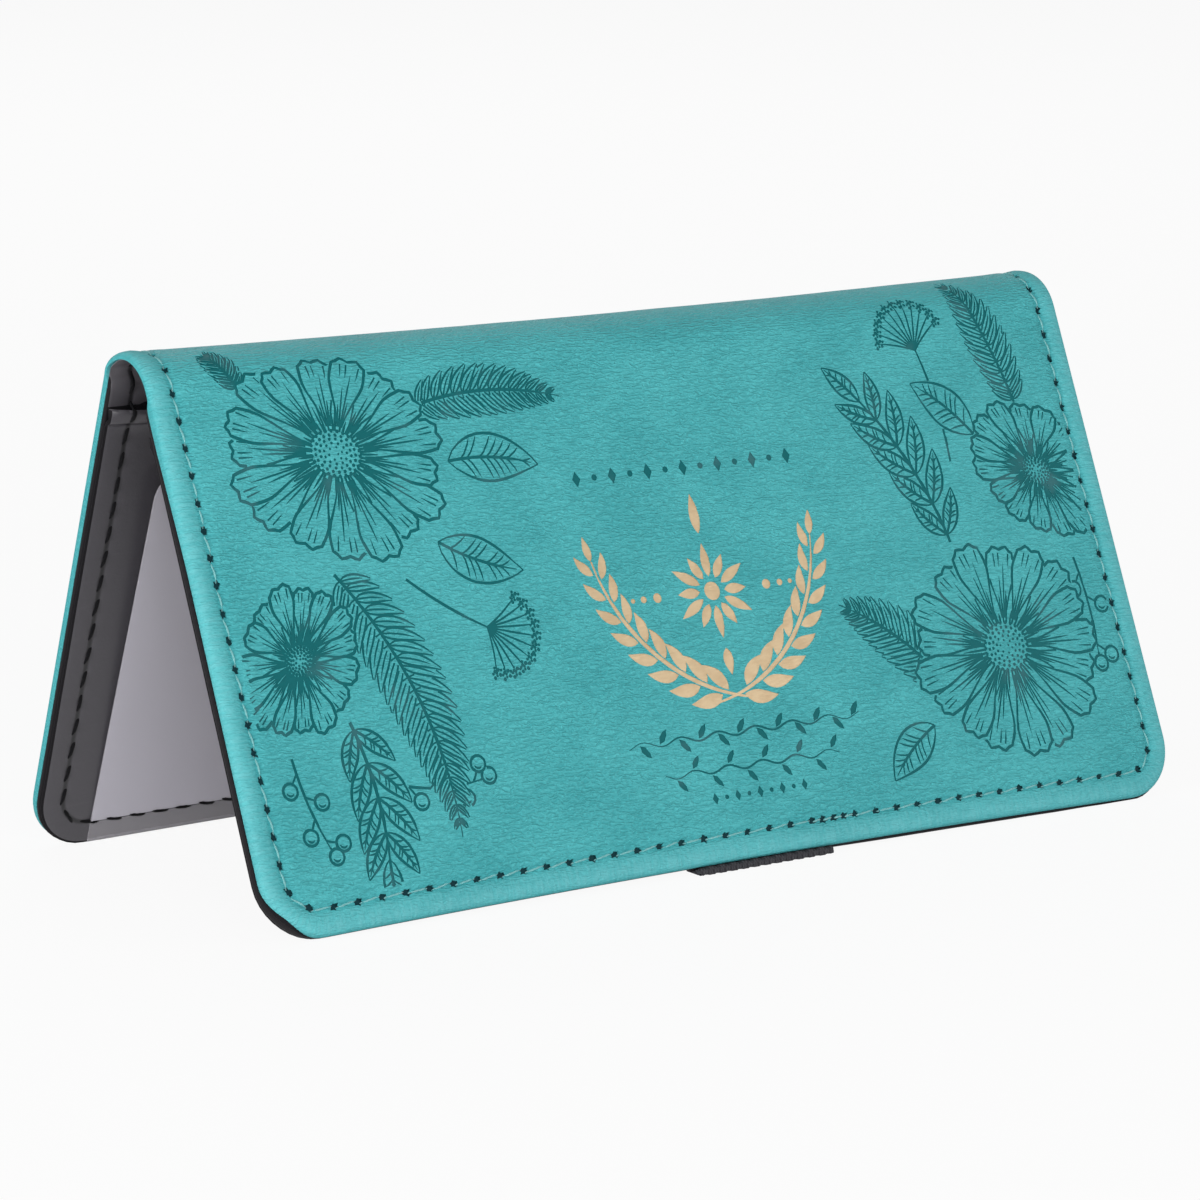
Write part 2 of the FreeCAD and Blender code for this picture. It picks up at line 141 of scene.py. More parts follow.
@dataclass(frozen=True)
class Cover:
    """Shape of the whole cover, and the way from the flat sheet to the standing one."""

    panel: float = 82.0
    corner: float = 9.0
    draw_in: float = 0.8
    draw_in_from: float = 30.0
    front_lean: float = math.radians(24.0)
    back_lean: float = math.radians(19.0)
    radius: float = 8.0
    tray_depth: float = 2.2
    edge_round: float = 0.6
    sag: float = 0.8
    sag_reach: float = 12.0
    soften: float = 0.5
    tuck: float = 0.2
    side_pleat: float = 0.4
    floor_gap: float = 0.02

    @cached_property
    def half(self) -> float:
        """Half the length along the spine."""
        low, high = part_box("front_leather")
        return (high.x - low.x) / 2 / MM

    @cached_property
    def flat(self) -> float:
        """Half the straight part of a free edge."""
        return self.half - self.corner

    @cached_property
    def straight(self) -> float:
        """From the ridge to where a corner begins."""
        return self.panel + self.arc / 2 - self.corner

    def foot_reach(self, lean: float) -> float:
        """How far the rolled free edge stands out beyond its crease."""
        rolled = self.edge_round * (1 - math.cos(lean))
        return (self.panel - self.edge_round) * math.sin(lean) + rolled

    def stand(self, lean: float) -> float:
        """Height of a crease above the ground."""
        return self.panel * math.cos(lean) + self.tray_depth * math.sin(lean)

    @cached_property
    def bend_centre_z(self) -> float:
        """Height of the middle of the bend."""
        return self.stand(self.front_lean) - self.radius * math.sin(self.front_lean)

    @cached_property
    def back_end(self) -> float:
        """Angle on the bend at which the back cover begins."""
        return math.asin((self.stand(self.back_lean) - self.bend_centre_z) / self.radius)

    @cached_property
    def span(self) -> float:
        """From the front crease to the back crease, level."""
        return self.radius * (math.cos(self.front_lean) + math.cos(self.back_end))

    @cached_property
    def front_y(self) -> float:
        """Place of the front crease."""
        return (self.foot_reach(self.front_lean) - self.foot_reach(self.back_lean) - self.span) / 2

    @cached_property
    def arc(self) -> float:
        """Length of the bend, from crease to crease."""
        return self.radius * (math.pi - self.front_lean - self.back_end)

    def station(self, side: Side, drop: float) -> float:
        """Place s of a point that lies drop below a cover's crease."""
        return -drop if side is Side.FRONT else self.arc + drop

    def drop(self, s: float) -> float:
        """Distance below the nearer crease, and 0 on the bend."""
        return max(-s, s - self.arc, 0.0)

    def sharp_point(self, s: float) -> tuple[float, float]:
        """Finds a point of the outer face, with the creases left sharp.

        Args:
            s: Place over the cover.

        Returns:
            The point's y and z.
        """
        if s <= 0:
            y = self.front_y + s * math.sin(self.front_lean)
            return y, self.stand(self.front_lean) + s * math.cos(self.front_lean)
        if s < self.arc:
            angle = math.pi - self.front_lean - s / self.radius
            y = self.front_y + self.radius * (math.cos(self.front_lean) + math.cos(angle))
            return y, self.bend_centre_z + self.radius * math.sin(angle)
        drop = s - self.arc
        y = self.front_y + self.span + drop * math.sin(self.back_lean)
        return y, self.stand(self.back_lean) - drop * math.cos(self.back_lean)

    def point(self, s: float) -> tuple[float, float]:
        """Place (y, z) on the outer face, with the creases eased."""
        before, here, after = (self.sharp_point(s + i * self.soften) for i in (-1, 0, 1))
        return tuple((a + 2 * b + c) / 4 for a, b, c in zip(before, here, after))

    def normal(self, s: float) -> tuple[float, float]:
        """Outward direction (y, z) of the outer face."""
        before, after = self.point(s - self.soften), self.point(s + self.soften)
        along = Vector((after[0] - before[0], after[1] - before[1])).normalized()
        return -along.y, along.x

    def place(self, flat: Vector, drawn: bool = True) -> Vector:
        """Bends a point of the flat sheet into place.

        Args:
            flat: The point (x, s, h), in millimetres.
            drawn: Whether it is drawn in with the free edges.

        Returns:
            The point of the standing cover, in metres.
        """
        x, s, h = flat
        if x < 0 and s < 0:
            distance, _, out_x, out_s = self.edge(x, s)
            pull = self.tuck * self.pleat(x, s) * (1 - smooth(distance, 0, self.corner))
            x, s = x - out_x * pull, s - out_s * pull
        drop = self.drop(s)
        if drawn and drop > 0:
            bow = max(0.0, 1 - (x / self.flat) ** 2)
            pull = self.draw_in * bow * smooth(drop, self.draw_in_from, self.panel)
            s += pull if s < 0 else -pull
        y, z = self.point(s)
        out_y, out_z = self.normal(s)
        sunk = 1 - smooth(abs(s - self.arc / 2), 0, self.arc / 2 + self.sag_reach)
        z -= self.sag * max(0.0, 1 - (x / self.half) ** 2) * sunk
        return Vector((x, y + h * out_y, max(z + h * out_z, self.floor_gap))) * MM

    def edge(self, x: float, s: float) -> tuple[float, float, float, float]:
        """Where a point lies from the flat outline.

        Args:
            x: Place along the spine.
            s: Place over the cover.

        Returns:
            The distance inwards from the outline, the distance along it from the ridge, and
            the outward direction (x, s).
        """
        middle = self.arc / 2
        side, end = abs(x) - self.flat, abs(s - middle) - self.straight
        sign_x, sign_s = math.copysign(1, x), math.copysign(1, s - middle)
        if side > 0 and end > 0:
            away = math.hypot(side, end)
            along = self.straight + self.corner * math.atan2(end, side)
            return self.corner - away, along, sign_x * side / away, sign_s * end / away
        if side >= end:
            return self.corner - side, abs(s - middle), sign_x, 0.0
        along = self.straight + self.corner * QUARTER + self.flat - abs(x)
        return self.corner - end, along, 0.0, sign_s

    def pleat(self, x: float, s: float) -> float:
        """How far a point belongs to the corner that the front's leather is pleated at.

        Args:
            x: Place along the spine.
            s: Place over the cover.

        Returns:
            1 at the front's left corner, a little along its left edge, and 0 elsewhere.
        """
        _, _, out_x, out_s = self.edge(x, s)
        corner = (2 * min(out_x, 0.0) * min(out_s, 0.0)) ** 2
        side = self.side_pleat * min(out_x, 0.0) ** 2 * smooth(-s, 2, 30)
        return corner + side * (1 - corner)

    def loop(self, inset: float, step: float, bend_step: float) -> list[Vector]:
        """Closed outline of the flat sheet.

        Args:
            inset: How far inside the real outline.
            step: About how far apart the points are.
            bend_step: The same, over the bend.

        Returns:
            The points, once round.
        """
        low, flat = self.panel - self.corner, self.flat
        side = spread(-low, -2, step)[:-1] + spread(-2, self.arc + 2, bend_step)
        side += spread(self.arc + 2, self.arc + low, step)[1:]
        radius = self.corner - inset
        turn = spread(0, QUARTER, step / radius)[1:-1]
        far = self.arc + low
        return ([Vector((self.half - inset, s)) for s in side]
                + corner_arc(flat, far, radius, turn, 0)
                + [Vector((x, far + radius)) for x in spread(flat, -flat, step)]
                + corner_arc(-flat, far, radius, turn, 1)
                + [Vector((inset - self.half, s)) for s in reversed(side)]
                + corner_arc(-flat, -low, radius, turn, 2)
                + [Vector((x, -low - radius)) for x in spread(-flat, flat, step)]
                + corner_arc(flat, -low, radius, turn, 3))


COVER = Cover()


# --- Shader helpers ---
class Value:
    """A number socket that takes part in arithmetic."""

    def __init__(self, paint: "Paint", socket: NodeSocket) -> None:
        """Wraps a socket."""
        self.paint = paint
        self.socket = socket

    def joined(self, operation: str, first: object, second: object = 0.0) -> "Value":
        """Result of a Math node."""
        return self.paint.value("ShaderNodeMath", {"operation": operation}, {0: first, 1: second})

    def __add__(self, other: object) -> "Value":
        """Sum."""
        return self.joined("ADD", self, other)

    __radd__ = __add__

    def __mul__(self, other: object) -> "Value":
        """Product."""
        return self.joined("MULTIPLY", self, other)

    __rmul__ = __mul__

    def __sub__(self, other: object) -> "Value":
        """Difference."""
        return self.joined("SUBTRACT", self, other)

    def __rsub__(self, other: object) -> "Value":
        """Difference, the other way round."""
        return self.joined("SUBTRACT", other, self)

    def sine(self) -> "Value":
        """Sine."""
        return self.joined("SINE", self)

    def above(self, low: float, high: float) -> "Value":
        """Smooth step from 0 at low to 1 at high."""
        return self.paint.value("ShaderNodeMapRange", {"interpolation_type": "SMOOTHSTEP"},
                                {"Value": self, 1: low, 2: high})

    def between(self, start: float, full: float, ebb: float, end: float) -> "Value":
        """Band that rises from start to full and falls from ebb to end."""
        return self.above(start, full) * (1 - self.above(ebb, end))


class Paint:
    """Builds the nodes of one material or of the world."""

    def __init__(self, owner: Material | World) -> None:
        """Empties the owner's node tree."""
        self.owner = owner
        owner.use_nodes = True
        self.tree = owner.node_tree
        self.tree.nodes.clear()

    def node(self, kind: str, settings: dict, inputs: dict) -> Node:
        """Adds a node.

        Args:
            kind: The node's type.
            settings: Attributes, set first.
            inputs: Values or links, by the socket's name or number.

        Returns:
            The node.
        """
        made = self.tree.nodes.new(kind)
        for key, value in settings.items():
            setattr(made, key, value)
        for key, value in inputs.items():
            socket = made.inputs[key]
            if isinstance(value, Value):
                value = value.socket
            if isinstance(value, NodeSocket):
                self.tree.links.new(value, socket)
            elif socket.type == "RGBA" and len(value) == 3:
                socket.default_value = (*value, 1.0)
            else:
                socket.default_value = value
        return made

    def value(self, kind: str, settings: dict, inputs: dict, output: str | int = 0) -> Value:
        """Adds a node and gives one of its outputs as a number."""
        return Value(self, self.node(kind, settings, inputs).outputs[output])

    def seen(self) -> Value:
        """1 for what the camera sees, directly, in a reflection or through something clear."""
        path = self.node("ShaderNodeLightPath", {}, {})
        camera, glossy, clear = (Value(self, path.outputs[f"Is {kind} Ray"])
                                 for kind in ("Camera", "Glossy", "Transmission"))
        return camera.joined("MAXIMUM", camera.joined("MAXIMUM", camera, glossy), clear)

    def place(self, scale: Sequence[float] = (1, 1, 1), source: str = "UV", turn: float = 0.0,
              shift: float = 0.0) -> NodeSocket:
        """Coordinates for a pattern.

        Args:
            scale: How much each axis is multiplied.
            source: UV, in millimetres of the flat sheet, or Object, in metres.
            turn: Angle of the pattern about Z.
            shift: How far it is moved, so that two patterns differ.

        Returns:
            The vector socket.
        """
        where = self.node("ShaderNodeTexCoord", {}, {}).outputs[source]
        inputs = {"Vector": where, "Scale": tuple(scale), "Rotation": (0, 0, turn),
                  "Location": (shift, shift, shift)}
        return self.node("ShaderNodeMapping", {}, inputs).outputs[0]

    def axes(self) -> list[Value]:
        """The flat sheet's own x and s."""
        parts = self.node("ShaderNodeSeparateXYZ", {}, {0: self.place()})
        return [Value(self, parts.outputs[i]) for i in (0, 1)]

    def noise(self, where: NodeSocket, scale: float = 1.0, detail: float = 3.0,
              rough: float = 0.55, twist: float = 0.0) -> Value:
        """Cloudy pattern from 0 to 1."""
        inputs = {"Vector": where, "Scale": scale, "Detail": detail, "Roughness": rough, "Distortion": twist}
        return self.value("ShaderNodeTexNoise", {}, inputs)

    def bands(self, where: NodeSocket, pitch: float, warp: float, waver: float) -> Value:
        """Lines along X that waver and merge, as in creased coatings.

        Args:
            where: The coordinates.
            pitch: Distance between the lines.
            warp: How strongly they are bent.
            waver: How finely they are bent.

        Returns:
            A height from 0 to 1.
        """
        settings = {"wave_type": "BANDS", "bands_direction": "Y", "wave_profile": "SIN"}
        inputs = {"Vector": where, "Scale": math.tau / 20 / pitch, "Distortion": warp, "Detail": 2.0,
                  "Detail Scale": waver, "Detail Roughness": 0.5}
        return self.value("ShaderNodeTexWave", settings, inputs, "Fac")

    def mask(self, name: str) -> Value:
        """A number that the mesh carries."""
        return self.value("ShaderNodeAttribute", {"attribute_name": name}, {}, "Fac")

    def mix(self, amount: object, first: object, second: object) -> NodeSocket:
        """Mix of two colours, by the share of the second."""
        made = self.node("ShaderNodeMix", {"data_type": "RGBA"}, {0: amount, 6: first, 7: second})
        return made.outputs[2]

    def bump(self, height: Value, distance: float, strength: float = 1.0) -> NodeSocket:
        """Normal that makes a height pattern show, with its full height in metres."""
        inputs = {"Height": height, "Distance": distance, "Strength": strength}
        return self.node("ShaderNodeBump", {}, inputs).outputs[0]

    def done(self, base: object, rough: Value, normal: NodeSocket,
             more: dict | None = None) -> Material:
        """Adds the shader and the output.

        Args:
            base: Base colour.
            rough: Roughness.
            normal: The bumped normal.
            more: The shader's other values and links.

        Returns:
            The finished material.
        """
        inputs = {"Base Color": base, "Roughness": rough, "Normal": normal, **(more or {})}
        shader = self.node("ShaderNodeBsdfPrincipled", {}, inputs)
        self.node("ShaderNodeOutputMaterial", {}, {"Surface": shader.outputs[0]})
        return self.owner

    def whitened(self, output: str, amount: object, first: Node, second: Node) -> None:
        """Adds an output that mixes two shaders, by the share of the second."""
        mixed = self.node("ShaderNodeMixShader", {}, {0: amount, 1: first.outputs[0], 2: second.outputs[0]})
        self.node(output, {}, {"Surface": mixed.outputs[0]})


# --- Finishes ---
@dataclass(frozen=True)
class Finish:
    """What every finish has: a name and a main colour."""

    name: str
    colour: Colour

    def paint(self) -> Paint:
        """Starts the finish's material."""
        return Paint(bpy.data.materials.new(self.name))


@dataclass(frozen=True)
class GrainedLeather(Finish):
    """Matt coated leather with fine wavy wrinkles, paler and creased where an edge is turned, with a painted
    highlight along the rolled edge and painted shade in the seam's valley.
    """

    deep: Colour
    # Colour of the paler turned rim, which is the leather's own, and of the painted highlight along the
    # rolled edge.
    paler_and_painted_light: Colour
    roughness: float = 0.5
    wrinkle: float = 0.00018
    rim_width: float = 3.5
    valley: float = SEAM_INSET

    def build(self) -> Material:
        """Makes the material."""
        paint = self.paint()
        ripple = paint.bands(paint.place((0.6, 1, 1), turn=0.06), 0.52, 9.5, 1.9)
        second = paint.bands(paint.place((0.7, 1, 1), turn=-0.12, shift=40), 0.74, 11.0, 1.6)
        pores = paint.noise(paint.place((1.4, 2.8, 1)), 2.2, 2, 0.6)
        cloud = paint.noise(paint.place((1, 1.4, 1)), 0.06, 3, 0.55)
        edge, around = paint.mask("Edge"), paint.mask("Across")
        strip = paint.node("ShaderNodeCombineXYZ", {}, {0: around * 1.9, 1: edge * 0.4}).outputs[0]
        pulled = paint.noise(strip, 1.0, 2, 0.5)
        rim = 1 - edge.above(self.rim_width - 0.8, self.rim_width + 0.2)
        side = 1 - edge.above(0.0, 0.3)
        # Painted highlight along the rolled edge.
        rolled_edge_highlight = edge.between(0.0, 1.0, 1.0, 2.6)
        # Where painted shade lies, in the seam's valley.
        seam_valley_shade = edge.between(self.valley - 0.9, self.valley, self.valley, self.valley + 1.3)
        patchy = paint.noise(paint.place((0.5, 1, 1)), 0.7, 2, 0.5).above(0.3, 0.7)
        wrinkles = ripple * (0.4 + patchy * 0.25) + second * (0.55 - patchy * 0.25) + pores * 0.3
        base = paint.mix(wrinkles * 0.65 + cloud.above(0.3, 0.7) * 0.35, self.deep, self.colour)
        # Paler on the turned rim, the leather's own wear, plus the painted highlight on the rolled edge.
        base = paint.mix(rim * (0.15 + pulled.above(0.4, 0.62) * 0.25) + rolled_edge_highlight * 0.2, base, self.paler_and_painted_light)
        # Painted shade: darker in the seam's valley; the outermost 0.3 mm of the turned edge is darker too.
        base = paint.mix(seam_valley_shade * (0.35 + 0.3 * pulled) + side * 0.5, base, self.deep)
        rough = self.roughness + 0.18 * (wrinkles - 0.5) + 0.1 * (cloud - 0.5) + 0.2 * rim
        height = wrinkles * (1 - rim * 0.5) + pulled * rim * 0.8
        return paint.done(base, rough, paint.bump(height, self.wrinkle, 0.9), {"Specular IOR Level": 0.18})


@dataclass(frozen=True)
class Stamped(Finish):
    """Leather under a hot stamp: darkened and smoothed, or coated with foil that the grain shows through;
    near black, it is the painted shade in the needle holes.
    """

    second: Colour
    roughness: float = 0.42
    grain: tuple[float, float, float] = (0.6, 1.6, 1.9)
    cloud: tuple[float, float, float] = (0.13, 0.52, 0.7)
    vary: tuple[float, float] = (0.22, 0.4)
    metallic: float = 0.0
    specular: float = 0.12

    def build(self) -> Material:
        """Makes the material."""
        paint = self.paint()
        grain = paint.noise(paint.place((*self.grain[:2], 1)), self.grain[2], 3, 0.6, 0.6)
        cloud = paint.noise(paint.place(), self.cloud[0], 2, 0.5)
        base = paint.mix(cloud.above(*self.cloud[1:]) * 0.6, self.colour, self.second)
        rough = self.roughness + self.vary[0] * (grain - self.vary[1])
        return paint.done(base, rough, paint.bump(grain, 0.00005, 0.6),
                          {"Metallic": self.metallic, "Specular IOR Level": self.specular})


@dataclass(frozen=True)
class Yarn(Finish):
    """Twisted sewing thread."""

    shade: Colour
    turns: float = 5.2
    sheen: float = 0.25

    def build(self) -> Material:
        """Makes the material."""
        paint = self.paint()
        strand = paint.value("ShaderNodeTexWave", {"wave_type": "BANDS", "bands_direction": "DIAGONAL"},
                             {"Vector": paint.place(), "Scale": self.turns / 10, "Distortion": 0.4,
                              "Detail": 1.0}, "Fac")
        fuzz = paint.noise(paint.place((9, 9, 1)), 1.0, 2, 0.6)
        base = paint.mix(strand * 0.7 + fuzz * 0.3, self.shade, self.colour)
        return paint.done(base, 0.62 + fuzz * 0.15, paint.bump(strand + fuzz * 0.3, 0.00006, 0.8),
                          {"Specular IOR Level": self.sheen, "Sheen Weight": self.sheen,
                           "Sheen Roughness": 0.5})


@dataclass(frozen=True)
class SmoothLeather(Finish):
    """Satin black lining leather with faint scuffs, greyer along its cut edges, with painted light over the
    fold and painted shade along the seam's valley.
    """

    scuffed: Colour
    # Colour of the painted light over the fold.
    paler_and_painted_light: Colour = (0.17, 0.16, 0.175)
    # Near-black painted shade along the seam's valley.
    groove: Colour = (0.006, 0.006, 0.007)
    roughness: float = 0.42
    specular: float = 0.42
    # Share of the painted light over the fold.
    painted_fold_light: float = 0.6

    def build(self) -> Material:
        """Makes the material."""
        paint = self.paint()
        grain = paint.noise(paint.place((0.8, 0.8, 1)), 2.6, 4, 0.62, 0.3)
        cells = paint.value("ShaderNodeTexVoronoi", {"feature": "SMOOTH_F1"},
                            {"Vector": paint.place(), "Scale": 1.7}, "Distance")
        cloud = paint.noise(paint.place(), 0.07, 3, 0.6)
        scuff = paint.noise(paint.place((0.12, 1.4, 1), turn=0.3), 0.5, 4, 0.7).above(0.56, 0.75)
        edge = paint.mask("Edge")
        rim = 1 - edge.above(0.0, 1.1)
        seam_valley_shade = edge.between(SEAM_INSET - 0.6, SEAM_INSET - 0.1, SEAM_INSET + 0.1, SEAM_INSET + 0.6)
        base = paint.mix(cloud * 0.35 + scuff * 0.18 + rim * 0.1, self.colour, self.scuffed)
        # Painted light: the lining over the fold is made lighter.
        fold = paint.axes()[1].between(-5, 1, COVER.arc - 1, COVER.arc + 5)
        base = paint.mix(fold * self.painted_fold_light, base, self.paler_and_painted_light)
        # Painted shade along the seam's valley.
        base = paint.mix(seam_valley_shade * 0.9, base, self.groove)
        rough = self.roughness + 0.14 * (grain - 0.5) + 0.1 * (cloud - 0.5) + 0.06 * scuff
        return paint.done(base, rough, paint.bump(grain * 0.7 + cells * -0.4, 0.00006, 0.55),
                          {"Specular IOR Level": self.specular})


@dataclass(frozen=True)
class FrostedVinyl(Finish):
    """Clear vinyl, a little milky, with the faint waves of a calendered sheet."""

    alpha: float
    roughness: float = 0.2

    def build(self) -> Material:
        """Makes the material."""
        paint = self.paint()
        waves = paint.noise(paint.place((0.05, 0.03, 1)), 1.0, 2, 0.45)
        dust = paint.noise(paint.place(), 2.4, 3, 0.7).above(0.62, 0.8)
        rough = self.roughness + 0.1 * (waves - 0.5) + 0.12 * dust
        return paint.done(self.colour, rough, paint.bump(waves, 0.0006, 0.6),
                          {"Alpha": self.alpha + 0.05 * dust + 0.06 * (waves - 0.5),
                           "Specular IOR Level": 0.6, "IOR": 1.53})


@dataclass(frozen=True)
class Webbing(Finish):
    """Knitted black elastic."""

    lint: Colour
    rib: float = 1.05

    def build(self) -> Material:
        """Makes the material."""
        paint = self.paint()
        turn = math.tau / self.rib
        across, along = paint.axes()
        ribs = (across * turn).sine() * 0.5 + 0.5
        knit = ((across * (2 * turn) + along * 1.2).sine() * (along * 7.4).sine()) * 0.5 + 0.5
        fuzz = paint.noise(paint.place((6, 6, 1)), 1.0, 3, 0.7)
        base = paint.mix(knit * 0.45 + ribs * 0.2 + fuzz * 0.3, self.colour, self.lint)
        normal = paint.bump(ribs * 0.4 + knit * 0.7 + fuzz * 0.35, 0.0001, 0.9)
        return paint.done(base, 0.78 + 0.15 * (fuzz - 0.5), normal, {"Specular IOR Level": 0.15})


@dataclass(frozen=True)
class PressedFibre(Finish):
    """Grey board or thin foam, which lie sealed inside the covers."""

    fleck: Colour
    grain: float
    height: float

    def build(self) -> Material:
        """Makes the material."""
        paint = self.paint()
        fibres = paint.noise(paint.place((0.6, 1, 1.6), "Object"), self.grain, 4, 0.7, 0.4)
        cloud = paint.noise(paint.place(source="Object"), self.grain / 12, 2, 0.5)
        base = paint.mix(fibres.above(0.4, 0.7) * 0.7 + cloud * 0.2, self.colour, self.fleck)
        return paint.done(base, 0.85 + 0.1 * (fibres - 0.5), paint.bump(fibres, self.height, 0.6))


@dataclass(frozen=True)
class Paper(Finish):
    """Seamless studio paper: white to the camera and in reflections, with a soft shadow."""

    glow: float = 0.92

    def build(self) -> Material:
        """Makes the material."""
        paint = self.paint()
        grain = paint.noise(paint.place(source="Object"), 900.0, 2, 0.5)
        base = paint.mix(grain * 0.03, self.colour, (0.8, 0.8, 0.8))
        matt = paint.node("ShaderNodeBsdfDiffuse", {}, {"Color": base})
        white = paint.node("ShaderNodeEmission", {}, {"Color": (1, 1, 1), "Strength": 1.0})
        paint.whitened("ShaderNodeOutputMaterial", paint.seen() * self.glow, matt, white)
        return paint.owner


@dataclass(frozen=True)
class Palette:
    """Every finish of the cover."""

    teal: Finish = GrainedLeather("teal_leather", (0.085, 0.45, 0.475), (0.034, 0.29, 0.315),
                                  (0.155, 0.485, 0.515))
    stamp: Finish = Stamped("stamped_teal", (0.003, 0.112, 0.122), (0.05, 0.15, 0.165))
    foil: Finish = Stamped("gold_foil", (0.52, 0.395, 0.245), (0.42, 0.30, 0.175), 0.34,
                           (0.5, 1.4, 1.6), (0.35, 0.35, 0.7), (0.2, 0.5), 0.55, 0.2)
    # Near-black painted shade inside the needle holes.
    hole: Finish = Stamped("needle_hole_shade", (0.002, 0.03, 0.037), (0.003, 0.04, 0.047), 0.6)
    thread: Finish = Yarn("teal_thread", (0.30, 0.66, 0.66), (0.10, 0.38, 0.39))
    black_thread: Finish = Yarn("black_thread", (0.008, 0.008, 0.009), (0.003, 0.003, 0.004), sheen=0.05)
    lining: Finish = SmoothLeather("black_lining", (0.056, 0.053, 0.061), (0.095, 0.09, 0.1))
    # Black dyed edge, and the painted shadow on the lining under the pockets' mouths.
    piping: Finish = SmoothLeather("black_edge_and_slit_shadow", (0.009, 0.0085, 0.010), (0.014, 0.013, 0.015),
                                   roughness=0.6, specular=0.08, painted_fold_light=0.0)
    vinyl: Finish = FrostedVinyl("clear_vinyl", (0.71, 0.685, 0.765), 0.66)
    # Vinyl sewn on the pocket; also the painted shade on the flap's cut sides.
    sewn_vinyl: Finish = FrostedVinyl("sewn_vinyl", (0.62, 0.60, 0.64), 0.36)
    elastic: Finish = Webbing("black_elastic", (0.007, 0.007, 0.009), (0.075, 0.073, 0.082))
    board: Finish = PressedFibre("grey_board", (0.34, 0.31, 0.27), (0.46, 0.43, 0.38), 900.0, 0.0001)
    foam: Finish = PressedFibre("thin_foam", (0.72, 0.71, 0.68), (0.6, 0.59, 0.55), 1500.0, 0.0002)

    def build(self) -> Materials:
        """Makes every material."""
        return {key: getattr(self, key).build() for key in self.__dataclass_fields__}


# --- Line drawing ---
def inside(point: Vector, corners: Sequence[Vector]) -> bool:
    """Whether a point lies in a polygon.

    Args:
        point: The point.
        corners: The polygon's corners.

    Returns:
        True if it lies inside.
    """
    hit = False
    before = corners[-1]
    for here in corners:
        if (here.y > point.y) != (before.y > point.y):
            cross = here.x + (before.x - here.x) * (point.y - here.y) / (before.y - here.y)
            hit ^= point.x < cross
        before = here
    return hit


def turned(start: Vector, angle: float, length: float, turn: float, count: int = 12) -> list[Vector]:
    """Line of even curvature.

    Args:
        start: Where it starts.
        angle: Its first direction.
        length: Its length.
        turn: How far its direction turns on the way.
        count: How many steps it has.

    Returns:
        The points.
    """
    points = [start.copy()]
    for i in range(count):
        points.append(points[-1] + toward(angle + turn * (i + 0.5) / count) * (length / count))
    return points


def across(points: Sequence[Vector], index: int) -> Vector:
    """Unit vector square to a line of points at one of them."""
    ahead = points[min(index + 1, len(points) - 1)] - points[max(index - 1, 0)]
    return Vector((-ahead.y, ahead.x)).normalized()


@dataclass
class Lines:
    """Points and the lines between them, on a flat sheet."""

    points: list[Vector] = field(default_factory=list)
    edges: list[tuple[int, int]] = field(default_factory=list)

    def loop(self, points: list[Vector]) -> None:
        """Adds a closed line."""
        base, count = len(self.points), len(points)
        self.points += points
        self.edges += [(base + i, base + (i + 1) % count) for i in range(count)]


